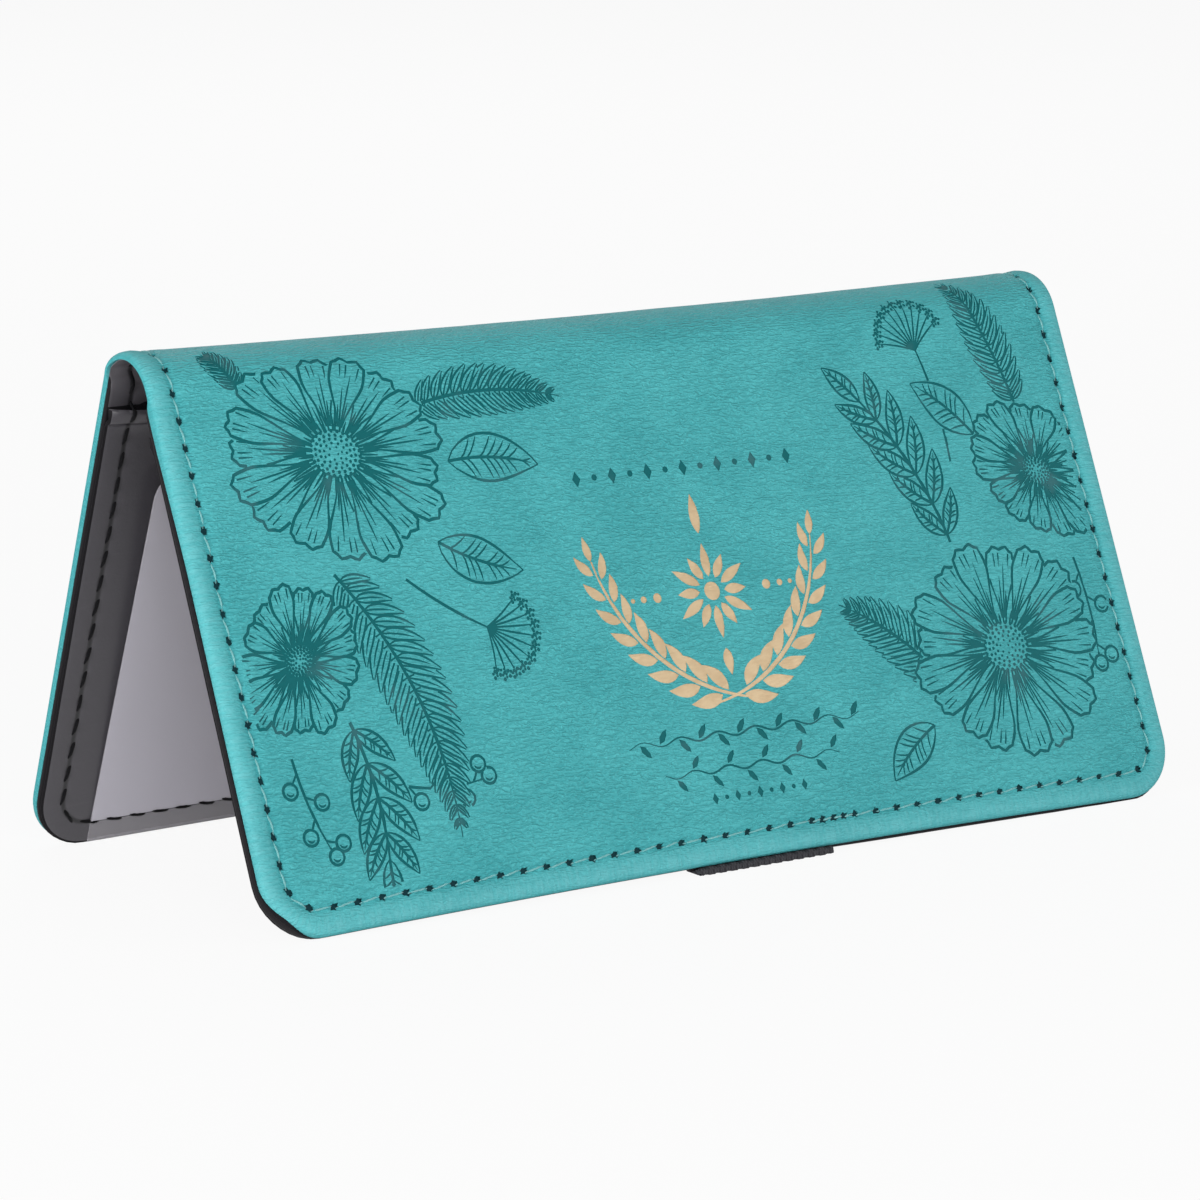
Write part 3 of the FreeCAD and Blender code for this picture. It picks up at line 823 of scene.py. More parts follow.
@dataclass
class Drawing(Lines):
    """Lines and patches that a stamp presses into the flat sheet, the nearest ones first."""

    seed: int = 7
    cell: float = 2.0
    margin: float = 5.1
    marks: dict[tuple[int, int], list[tuple[list[Vector], Ink]]] = field(default_factory=dict)
    covers: list[tuple[float, float, float, float, list[Vector]]] = field(default_factory=list)

    def __post_init__(self) -> None:
        """Starts the random numbers."""
        self.random = random.Random(self.seed)

    def hidden(self, point: Vector) -> bool:
        """Whether a nearer motif or the seam's margin lies over a point."""
        return COVER.edge(point.x, point.y)[0] < self.margin or any(
            left < point.x < right and low < point.y < high and inside(point, corners)
            for left, right, low, high, corners in self.covers)

    def hide(self, corners: list[Vector]) -> None:
        """Keeps later marks out of a polygon."""
        xs, ys = [p.x for p in corners], [p.y for p in corners]
        self.covers.append((min(xs), max(xs), min(ys), max(ys), corners))

    def keep(self, corners: list[Vector], ink: Ink) -> None:
        """Notes a polygon for the question which mark a point lies in.

        Args:
            corners: The polygon.
            ink: What is pressed in there.
        """
        columns, rows = ([math.floor(p[axis] / self.cell) for p in corners] for axis in (0, 1))
        for i in range(min(columns), max(columns) + 1):
            for j in range(min(rows), max(rows) + 1):
                self.marks.setdefault((i, j), []).append((corners, ink))

    def ink_at(self, point: Vector) -> Ink:
        """Which mark a point lies in.

        Args:
            point: The point.

        Returns:
            The ink there, the deepest one where marks cross.
        """
        found = Ink.PLAIN
        cell = math.floor(point.x / self.cell), math.floor(point.y / self.cell)
        for corners, ink in self.marks.get(cell, ()):
            if ink.value > found.value and inside(point, corners):
                found = ink
        return found

    def press(self, corners: list[Vector], ink: Ink) -> None:
        """Presses in a closed shape, whatever lies there."""
        self.loop(corners)
        self.keep(corners, ink)

    def patch(self, corners: list[Vector], ink: Ink = Ink.STAMP) -> None:
        """Presses in a filled shape, unless something nearer hides its middle."""
        if not self.hidden(sum(corners, Vector((0, 0))) / len(corners)):
            self.press(corners, ink)

    def dot(self, middle: Vector, radius: float, ink: Ink = Ink.STAMP, sides: int = 6) -> None:
        """Presses in a small round dot."""
        self.patch([middle + toward(math.tau * i / sides) * radius for i in range(sides)], ink)

    def line(self, points: Sequence[Vector], width: float, ink: Ink = Ink.STAMP,
             start: float = 0.35, end: float = 0.35) -> None:
        """Presses in a line that swells and tapers.

        Args:
            points: The line's points.
            width: Its greatest width.
            ink: What is pressed in.
            start: Share of the width at its start.
            end: Share of the width at its end.
        """
        run: list[tuple[Vector, Vector]] = []
        for i, point in enumerate(points):
            share = i / (len(points) - 1)
            least, near = (start, share) if share < 0.5 else (end, 1 - share)
            swell = least + (1 - least) * smooth(near, 0, 0.35)
            out = across(points, i) * (width * swell / 2)
            if self.hidden(point):
                self.ribbon(run, ink)
                run = []
            else:
                run.append((point + out, point - out))
        self.ribbon(run, ink)

    def ribbon(self, run: list[tuple[Vector, Vector]], ink: Ink) -> None:
        """Presses in the stretch of a line between its pairs of side points."""
        if len(run) > 1:
            self.loop([pair[0] for pair in run] + [pair[1] for pair in reversed(run)])
        for near, far in zip(run, run[1:]):
            self.keep([near[0], far[0], far[1], near[1]], ink)


def strips(middle: Sequence[Vector], half: Callable[[int], float]) -> list[list[Vector]]:
    """Both sides of a shape about its middle line, by its half width at each point."""
    return [[point + across(middle, i) * sign * half(i) for i, point in enumerate(middle)]
            for sign in (1, -1)]


@dataclass(frozen=True)
class Shoot:
    """Where the middle line of a leaf or stem starts, and how it runs from there."""

    x: float
    y: float
    angle: float
    length: float
    turn: float

    def line(self, count: int) -> list[Vector]:
        """Its points, in so many steps."""
        return turned(Vector((self.x, self.y)), self.angle, self.length, self.turn, count)

    def heading(self, share: float) -> float:
        """Its direction at a share of its length."""
        return self.angle + self.turn * share


@dataclass(frozen=True)
class Botanist:
    """Draws plain field plants with a stamp's lines."""

    drawing: Drawing
    fine: float = 0.3
    bold: float = 0.62

    def leaf(self, shoot: Shoot, width: float, veins: int) -> None:
        """A lance-shaped leaf.

        Args:
            shoot: Its middle rib.
            width: Its greatest width.
            veins: How many side veins each half has.
        """
        pen, count = self.drawing, 14
        middle = shoot.line(count)
        sides = strips(middle, lambda i: width / 2 * math.sin(math.pi * (i / count) ** 0.85) ** 0.9)
        for side in sides:
            pen.line(side, self.bold * 0.75, start=0.5, end=0.5)
        pen.line(middle[:-1], self.bold * 0.8, start=1.0, end=0.3)
        for i in range(1, veins + 1):
            at = int(count * (0.1 + 0.78 * i / (veins + 1)))
            for sign, side in zip((1, -1), sides):
                way = side[min(at + 2, count)] - middle[at]
                bow = across(middle, at) * sign * -0.12 * way.length
                bowed = [middle[at] + way * t + bow * math.sin(math.pi * t) for t in (0, 0.35, 0.7, 0.93)]
                pen.line(bowed, self.fine, start=0.9, end=0.3)
        pen.hide(sides[0] + sides[1][-2:0:-1])

    def sprig(self, shoot: Shoot, pairs: int, leaf: float) -> None:
        """A stem with pairs of lance-shaped leaves and one at its tip.

        Args:
            shoot: Its stem.
            pairs: How many pairs of leaves it has.
            leaf: Length of a leaf.
        """
        stem = shoot.line(pairs * 4)
        self.leaf(Shoot(*stem[-1], shoot.heading(1), leaf * 0.95, 0.15), leaf * 0.36, 5)
        for i in range(pairs, 0, -1):
            at = i * 4 - 3
            here = shoot.angle + shoot.turn * at / len(stem)
            size = leaf * (0.72 + 0.36 * math.sin(math.pi * i / (pairs + 1)))
            for sign in (1, -1):
                self.leaf(Shoot(*stem[at], here + sign * 0.75, size, -0.35 * sign), size * 0.34, 5)
        self.drawing.line(stem, self.bold, start=1.0, end=0.6)

    def frond(self, shoot: Shoot, pairs: int, reach: float) -> None:
        """A fern frond: a curving stem with narrow leaflets, each with its own rib.

        Args:
            shoot: Its stem.
            pairs: How many pairs of leaflets it has.
            reach: Length of the longest leaflet.
        """
        pen = self.drawing
        stem = shoot.line(pairs * 3)
        pen.line(stem, self.bold * 0.9, start=1.0, end=0.3)
        for i in range(pairs):
            at = 2 + int(i * (len(stem) - 4) / pairs)
            share = at / len(stem)
            size = reach * math.sin(math.pi * (0.16 + 0.84 * share)) ** 0.8 * (1 - 0.25 * share)
            here = shoot.heading(share)
            for sign in (1, -1):
                spine = turned(stem[at], here + sign * (1.18 - 0.35 * share), size, -0.45 * sign, 8)
                rims = strips(spine, lambda j: 0.12 + size * 0.105
                              * math.sin(math.pi * min(1.0, (j / 8) ** 0.7)))
                for rim in rims:
                    pen.line(rim, self.fine * 1.25, start=0.7, end=0.5)
                pen.line(spine[:7], self.fine, start=1.0, end=0.3)
                pen.hide(rims[0] + rims[1][::-1])

    def daisy(self, x: float, y: float, radius: float, petals: int, squash: float, lean: float) -> None:
        """A daisy seen a little from one side.

        Args:
            x: The centre of its disc.
            y: The same, across.
            radius: From there to a petal's tip.
            petals: How many petals it has.
            squash: Height over width.
            lean: Angle of the squashed axis.
        """
        pen, middle = self.drawing, Vector((x, y))

        def spot(reach: float, angle: float) -> Vector:
            """Point of the leaning flower."""
            out, up = reach * math.cos(angle), reach * math.sin(angle) * squash
            return middle + Vector((out * math.cos(lean) - up * math.sin(lean),
                                    out * math.sin(lean) + up * math.cos(lean)))

        disc = radius * 0.23
        for ring in range(6):
            count = 1 + ring * 5
            for i in range(count):
                angle = math.tau * i / count + ring * 0.4
                pen.dot(spot(disc * (0.1 + 0.17 * ring), angle), 0.2 + 0.03 * ring, sides=5)
        for i in range(52):
            angle = math.tau * (i + pen.random.uniform(-0.3, 0.3)) / 52
            reach = disc * pen.random.uniform(1.3, 2.1)
            pen.line([spot(disc * 0.95, angle), spot((disc + reach) / 2, angle), spot(reach, angle)],
                     self.fine * 1.3, start=1.0, end=0.3)
        pen.hide([spot(disc * 1.02, math.tau * i / 20) for i in range(20)])
        for place in (*range(0, petals, 2), *range(1, petals, 2)):
            angle = math.tau * place / petals + pen.random.uniform(-0.05, 0.05)
            self.petal(spot, angle, disc, radius * pen.random.uniform(0.9, 1.04), math.pi / petals * 1.2)

    def petal(self, spot: Callable[[float, float], Vector], angle: float, start: float, end: float,
              half: float) -> None:
        """One petal with a notched tip and fine veins.

        Args:
            spot: Gives a point of the flower by its distance and angle.
            angle: The petal's direction.
            start: Where it leaves the disc.
            end: Where its tip is.
            half: Half the angle that it fills.
        """
        pen, reach = self.drawing, end - start
        sides: dict[int, list[Vector]] = {1: [], -1: []}
        for sign, side in sides.items():
            for share in (i / 11 for i in range(12)):
                width = 0.3 + 0.62 * smooth(share, -0.1, 0.75) - 0.3 * smooth(share, 0.7, 1.15)
                side.append(spot(start + reach * 0.94 * share, angle + sign * half * width))
        brink = 0.92 - 0.3 * smooth(1, 0.7, 1.15)
        tip = []
        for u in spread(-1, 1, 0.25)[1:-1]:
            far = 0.95 + 0.055 * (1 - u * u) - 0.022 * math.cos(2 * math.pi * u)
            tip.append(spot(end * far, angle + half * brink * u * -1))
        rim = sides[1] + tip + sides[-1][::-1]
        pen.line(rim, self.bold * 0.85, start=0.45, end=0.45)
        for offset, far in ((-0.46, 0.42), (-0.2, 0.8), (0.18, 0.62), (0.5, 0.36)):
            points = [spot(start + reach * t, angle + half * offset * (0.6 + 0.4 * t))
                      for t in (0.05, far * 0.4, far * 0.75, far)]
            pen.line(points, self.fine * min(1.0, end / 16), start=1.25, end=0.25)
        for offset in (-0.48, 0.08, 0.34):
            points = [spot(start + reach * t, angle + half * offset) for t in (0.93, 0.84, 0.74)]
            pen.line(points, self.fine * 0.9, start=1.0, end=0.25)
        pen.hide(rim)

    def berries(self, shoot: Shoot, count: int, size: float) -> None:
        """A thin stem with round berries on short stalks, alternately left and right.

        Args:
            shoot: Its stem.
            count: How many berries stand beside it.
            size: Radius of a berry.
        """
        pen = self.drawing
        stem = shoot.line(count * 3)
        for i in range(count + 1):
            at = min(2 + i * 3, len(stem) - 1)
            aside = 0 if i == count else (0.85 if i % 2 else -0.85)
            way = shoot.angle + shoot.turn * at / len(stem) + aside
            stalk = turned(stem[at], way, size * (1.4 if i < count else 0.4), 0.2, 3)
            middle = stalk[-1] + (stalk[-1] - stalk[-2]).normalized() * size
            ring = [middle + toward(a) * size for a in spread(0, math.tau, 0.42)]
            pen.line(ring, self.bold * 0.8, start=0.8, end=0.8)
            shade = [middle + toward(a) * size * 0.55 for a in spread(3.4, 5.6, 0.4)]
            pen.line(shade, self.fine * 1.2, start=0.4, end=0.4)
            pen.hide(ring)
            pen.line(stalk, self.fine * 1.2, start=1.0, end=0.8)
        pen.line(stem, self.bold * 0.75, start=1.0, end=0.5)

    def umbel(self, shoot: Shoot, radius: float) -> None:
        """A stem that fans out into rays, each with a cluster of small round florets.

        Args:
            shoot: Its stem.
            radius: Length of the middle ray.
        """
        pen, rays = self.drawing, 11
        stem = shoot.line(14)
        for i in range(rays):
            share = i / (rays - 1) * 2 - 1
            reach = radius * (1 - 0.16 * share * share)
            ray = turned(stem[-1], shoot.heading(1) + share * 0.98, reach, share * 0.25, 6)
            for j in range(9):
                at = ray[-1] + toward(j * 2.4) * (0.42 * math.sqrt(j) * radius / 11)
                pen.dot(at, 0.34 if j % 2 else 0.26)
            pen.line(ray, self.fine * 1.1, start=1.0, end=0.5)
        pen.line(stem, self.bold * 0.8, start=0.9, end=0.6)


@dataclass(frozen=True)
class Ornament:
    """Two foil sprays about a rosette, between rows of small stamped beads and leaves."""

    drawing: Drawing
    middle: Vector
    stem: float = 0.75
    leaves: int = 9

    def petal(self, base: Vector, angle: float, length: float, width: float, bow: float = 0.0) -> None:
        """One pointed foil petal or leaf.

        Args:
            base: Where it starts.
            angle: Its direction.
            length: Its length.
            width: Its greatest width.
            bow: How far its direction turns.
        """
        left, right = strips(turned(base, angle, length, bow, 8),
                             lambda i: width / 2 * math.sin(math.pi * (i / 8) ** 0.8))
        self.drawing.patch(left + right[-2:0:-1], Ink.FOIL)

    def spray(self, sign: int) -> None:
        """One leafy branch.

        Args:
            sign: 1 if it rises to the right and -1 if to the left.
        """
        start = self.middle + Vector((-3.6 * sign, -14.4))
        heading, turn = (0.16, 1.25) if sign > 0 else (math.pi - 0.16, -1.25)
        steps = self.leaves * 4
        branch = turned(start, heading, 37.0, turn, steps)
        self.drawing.line(branch, self.stem, Ink.FOIL, 0.5, 0.4)
        for i in range(self.leaves - 1):
            at = 5 + i * 4
            here = heading + turn * at / steps
            size = 6.4 - 2.6 * i / self.leaves
            for side in (1, -1):
                foot = branch[min(at + (side > 0), steps)] + across(branch, at) * side * 0.5
                self.petal(foot, here + side * 0.72, size, size * 0.36, -0.5 * side)
        size = 6.4 - 2.6 * (self.leaves - 1) / self.leaves
        self.petal(branch[-1], heading + turn, size, size * 0.36)

    def gold(self) -> None:
        """The foil part: a rosette between two sprays."""
        for sign in (1, -1):
            self.spray(sign)
        heart = self.middle + Vector((0, 3.2))
        for i in range(12):
            angle = math.tau * i / 12
            self.petal(heart + toward(angle) * 2.3, angle, 5.4 if i % 2 else 4.2, 1.7)
        self.drawing.dot(heart, 1.5, Ink.FOIL, 16)
        for sign in (1, -1):
            for reach, size in ((10.4, 0.8), (13.0, 0.55), (15.0, 0.4)):
                self.drawing.dot(heart + Vector((reach * sign, 0)), size, Ink.FOIL, 12)
        for up, angle, length in ((9.2, QUARTER, 6.4), (-9.2, -QUARTER, 4.4)):
            self.petal(heart + Vector((0, up)), angle, length, 1.9)

    def beads(self, drop: float, width: float, size: float) -> None:
        """A stamped row of beads and lozenges about a centre line.

        Args:
            drop: How far the row lies below the ornament's middle.
            width: Its length.
            size: Height of a lozenge.
        """
        count = 2 * round(width / size / 2.5) + 1
        for i in range(count):
            at = self.middle + Vector((width * (i / (count - 1) - 0.5), -drop))
            if i % 2:
                self.drawing.dot(at, size * 0.2, sides=8)
            else:
                tall, wide = size * 0.5, size * 0.3
                self.drawing.patch([at + Vector(c) for c in ((wide, 0), (0, tall), (-wide, 0), (0, -tall))])

    def vine(self, drop: float, width: float, size: float) -> None:
        """A stamped row of small leaves along a waving stem.

        Args:
            drop: How far the row lies below the ornament's middle.
            width: Its length.
            size: Length of a leaf.
        """
        count = round(width / size / 1.1)
        xs = [width * (i / (count * 6) - 0.5) for i in range(count * 6 + 1)]
        wave = [self.middle + Vector((x, -drop + size * 0.16 * math.sin(math.pi * x / size / 1.1)))
                for x in xs]
        self.drawing.line(wave, 0.34, start=0.4, end=0.4)
        shape = ((0.12, 0), (0.4, 0.17), (0.75, 0.14), (1, 0), (0.75, -0.14), (0.4, -0.17))
        for i in range(count):
            at, ahead = wave[i * 6 + 3], toward(0.9 if i % 2 else -0.9)
            side = Vector((-ahead.y, ahead.x))
            self.drawing.patch([at + ahead * size * a + side * size * b for a, b in shape])


# --- Sheets ---
@dataclass
class FlatSheet(Lines):
    """A flat piece of material, built of the lines that it is cut or bent along."""

    merge: float = 0.0005

    def rows(self, places: Iterable[float], limit: float, step: float, more: Sequence[float] = ()) -> None:
        """Adds a row of loose points at each place, from -limit to limit and wherever else."""
        for place in places:
            self.points += [Vector((x, place)) for x in (*spread(-limit, limit, step), *more)]

    def mesh(self, height: Height = lambda x, s: 0.0) -> BMesh:
        """Fills the sheet with triangles that keep to its lines.

        The drawing's crossing outlines make this a job for a constrained triangulation, which
        no mesh operator gives, so its triangles are taken over as they are.

        Args:
            height: The sheet's height at a point.

        Returns:
            The mesh, with its front upwards.
        """
        found = delaunay_2d_cdt(self.points, self.edges, [], 0, self.merge, False)
        made = bmesh.new()
        verts = [made.verts.new((p.x, p.y, height(p.x, p.y))) for p in found[0]]
        for corners in found[2]:
            made.faces.new([verts[i] for i in corners])
        loose = [v for v in made.verts if not v.link_faces]
        bmesh.ops.delete(made, geom=loose, context="VERTS")
        return made

    def on_cover(self, side: Side, height: Height) -> BMesh:
        """Fills a sheet that is drawn as (x, drop) and lies on one cover.

        Args:
            side: The cover.
            height: The sheet's height at (x, drop).

        Returns:
            The mesh, on the flat cover.
        """
        made = self.mesh()
        for vert in made.verts:
            x, drop, _ = vert.co
            vert.co = Vector((x, COVER.station(side, drop), height(x, drop)))
        return made


def panel_loop(inset: float, top: float, step: float) -> list[Vector]:
    """Closed outline of one cover below a line, as (x, drop).

    Args:
        inset: How far inside the cover's outline.
        top: The line's distance below the crease.
        step: About how far apart the points are.

    Returns:
        The points, once round.
    """
    radius, flat = COVER.corner - inset, COVER.flat
    low, side = COVER.panel - COVER.corner, COVER.half - inset
    turn = spread(0, QUARTER, step / radius)[1:-1]
    return ([Vector((side, d)) for d in spread(top, low, step)]
            + corner_arc(flat, low, radius, turn, 0)
            + [Vector((x, low + radius)) for x in spread(flat, -flat, step)]
            + corner_arc(-flat, low, radius, turn, 1)
            + [Vector((-side, d)) for d in spread(low, top, step)]
            + [Vector((x, top)) for x in spread(-side, side, step)[1:-1]])


def rim_edges(mesh: BMesh) -> list[BMEdge]:
    """Edges on the open rim of a mesh."""
    return [e for e in mesh.edges if e.is_boundary]


def wall(mesh: BMesh, edges: list[BMEdge], profile: Sequence[Ring]) -> None:
    """Grows a turned edge from the rim of a flat sheet.

    Args:
        mesh: The flat mesh.
        edges: The rim's edges.
        profile: For each step, what gives the inset from the outline and the height at (x, s).
    """
    for step in profile:
        grown = bmesh.ops.extrude_edge_only(mesh, edges=edges)["geom"]
        verts = [g for g in grown if isinstance(g, BMVert)]
        fresh = set(verts)
        edges = [g for g in grown if isinstance(g, BMEdge) and fresh.issuperset(g.verts)]
        for vert in verts:
            distance, _, out_x, out_s = COVER.edge(vert.co.x, vert.co.y)
            inset, height = step(vert.co.x, vert.co.y)
            vert.co.x += out_x * (distance - inset)
            vert.co.y += out_s * (distance - inset)
            vert.co.z = height


def blacken_edge(mesh: BMesh, width: float = 0.5) -> None:
    """Gives the outermost faces of a flat mesh the second material, the dyed edge."""
    for face in mesh.faces:
        middle = face.calc_center_median()
        face.material_index = int(COVER.edge(middle.x, middle.y)[0] < width)


def thicken(mesh: BMesh, thickness: float, up: bool | None = None) -> None:
    """Gives an open sheet a thickness, and turns its faces outwards.

    Args:
        mesh: The sheet.
        thickness: How thick it becomes.
        up: Whether a nearly level sheet grows towards +h or -h, or None for the way it has.
    """
    bmesh.ops.recalc_face_normals(mesh, faces=mesh.faces)
    if up is not None and (sum(f.normal.z for f in mesh.faces) > 0) == up:
        bmesh.ops.reverse_faces(mesh, faces=mesh.faces)
    bmesh.ops.solidify(mesh, geom=mesh.faces[:], thickness=thickness)
    bmesh.ops.recalc_face_normals(mesh, faces=mesh.faces)


def bend(mesh: BMesh, drawn: bool = True) -> None:
    """Bends a flat mesh into place."""
    for vert in mesh.verts:
        vert.co = COVER.place(vert.co, drawn)


def finish_flat(mesh: BMesh, unrolled: bool = True) -> None:
    """Gives a flat mesh its pattern coordinates and edge distance, then bends it.

    Args:
        mesh: The mesh, still flat.
        unrolled: Whether the pattern runs on over the turned edge.
    """
    flat = mesh.loops.layers.uv.new("Flat")
    edge = mesh.verts.layers.float.new("Edge")
    around = mesh.verts.layers.float.new("Across")
    for vert in mesh.verts:
        distance, along, out_x, out_s = COVER.edge(vert.co.x, vert.co.y)
        vert[edge], vert[around] = max(distance, 0.0), along
        reach = max(0.0, -vert.co.z) if unrolled and distance < 0.5 else 0.0
        for corner in vert.link_loops:
            corner[flat].uv = (vert.co.x + out_x * reach, vert.co.y + out_s * reach)
    bend(mesh)


def add_piece(name: str, mesh: BMesh, materials: Sequence[Material],
              sharp: float = 40.0) -> Object:
    """Turns a finished mesh into a piece.

    Args:
        name: The piece's name.
        mesh: Its mesh, in metres, which is used up.
        materials: Its materials.
        sharp: Angle in degrees from which an edge shows as a crease.

    Returns:
        The object.
    """
    for face in mesh.faces:
        face.smooth = True
    made = add_object(name, mesh, materials)
    made.data.set_sharp_from_angle(angle=math.radians(sharp))
    log.info("%s: %d faces", name, len(made.data.polygons))
    return made


def add_object(name: str, mesh: BMesh, materials: Sequence[Material]) -> Object:
    """Puts a mesh into the scene.

    Args:
        name: The object's name.
        mesh: Its mesh, which is used up.
        materials: Its materials.

    Returns:
        The object.
    """
    data = bpy.data.meshes.new(name)
    mesh.to_mesh(data)
    mesh.free()
    for material in materials:
        data.materials.append(material)
    made = bpy.data.objects.new(name, data)
    bpy.context.scene.collection.objects.link(made)
    return made


@dataclass(frozen=True)
class Span:
    """One of the three lengths that a sheet over the fold is cut into."""

    name: str
    bodies: tuple[str, str]
    nodes: tuple[str, ...]
    start: float | None
    end: float | None
    bend: tuple[float, float]

    def cut(self, mesh: BMesh) -> BMesh:
        """Copies this length out of a flat mesh.

        Args:
            mesh: The mesh over the whole cover.

        Returns:
            The length.
        """
        part = mesh.copy()
        for at, outer in ((self.start, False), (self.end, True)):
            if at is not None:
                bmesh.ops.bisect_plane(part, geom=part.verts[:] + part.edges[:] + part.faces[:],
                                       dist=1e-5, plane_co=(0, at, 0), plane_no=(0, 1, 0),
                                       clear_outer=outer, clear_inner=not outer)
        return part

    def bind(self, piece: Object) -> None:
        """Bakes a piece's placement into its mesh.

        Args:
            piece: The piece.
        """
        start, end = (COVER.place(Vector((COVER.half, s, -0.6))) for s in self.bend)
        start.x = end.x = 0
        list(self.bodies)
        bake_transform(piece)
        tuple(start)
        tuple(end)


def spans() -> tuple[Span, Span, Span]:
    """The three lengths over the fold, each across one crease."""
    first, second = COVER.arc * 0.25, COVER.arc * 0.75
    reach, gap = 3.4, 0.2
    return (Span("front", ("front_cover", "spine_front"), ("front",), None, first, (-reach, first - gap)),
            Span("ridge", ("spine_front", "spine_back"), ("spine_front", "spine_back"), first, second,
                 (first + gap, second - gap)),
            Span("back", ("spine_back", "back_cover"), ("back",), second, None,
                 (second + gap, COVER.arc + reach)))


def add_spans(name: str, mesh: BMesh, materials: Sequence[Material],
              sharp: float, node: str | None, finish: Callable[[BMesh], None]) -> None:
    """Makes the three pieces of a flat mesh that lies over the fold.

    Args:
        name: What their names begin with.
        mesh: The flat mesh, which is used up.
        materials: Their materials.
        sharp: Angle in degrees from which an edge shows as a crease.
        node: What the names of the solids that they replace end with, if they replace any.
        finish: What bends each of them into place.
    """
    for span in spans():
        part = span.cut(mesh)
        finish(part)
        piece = add_piece(f"{name}_{span.name}", part, materials, sharp)
        if node:
            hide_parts(*(f"{place}_{node}" for place in span.nodes))
        span.bind(piece)
    mesh.free()


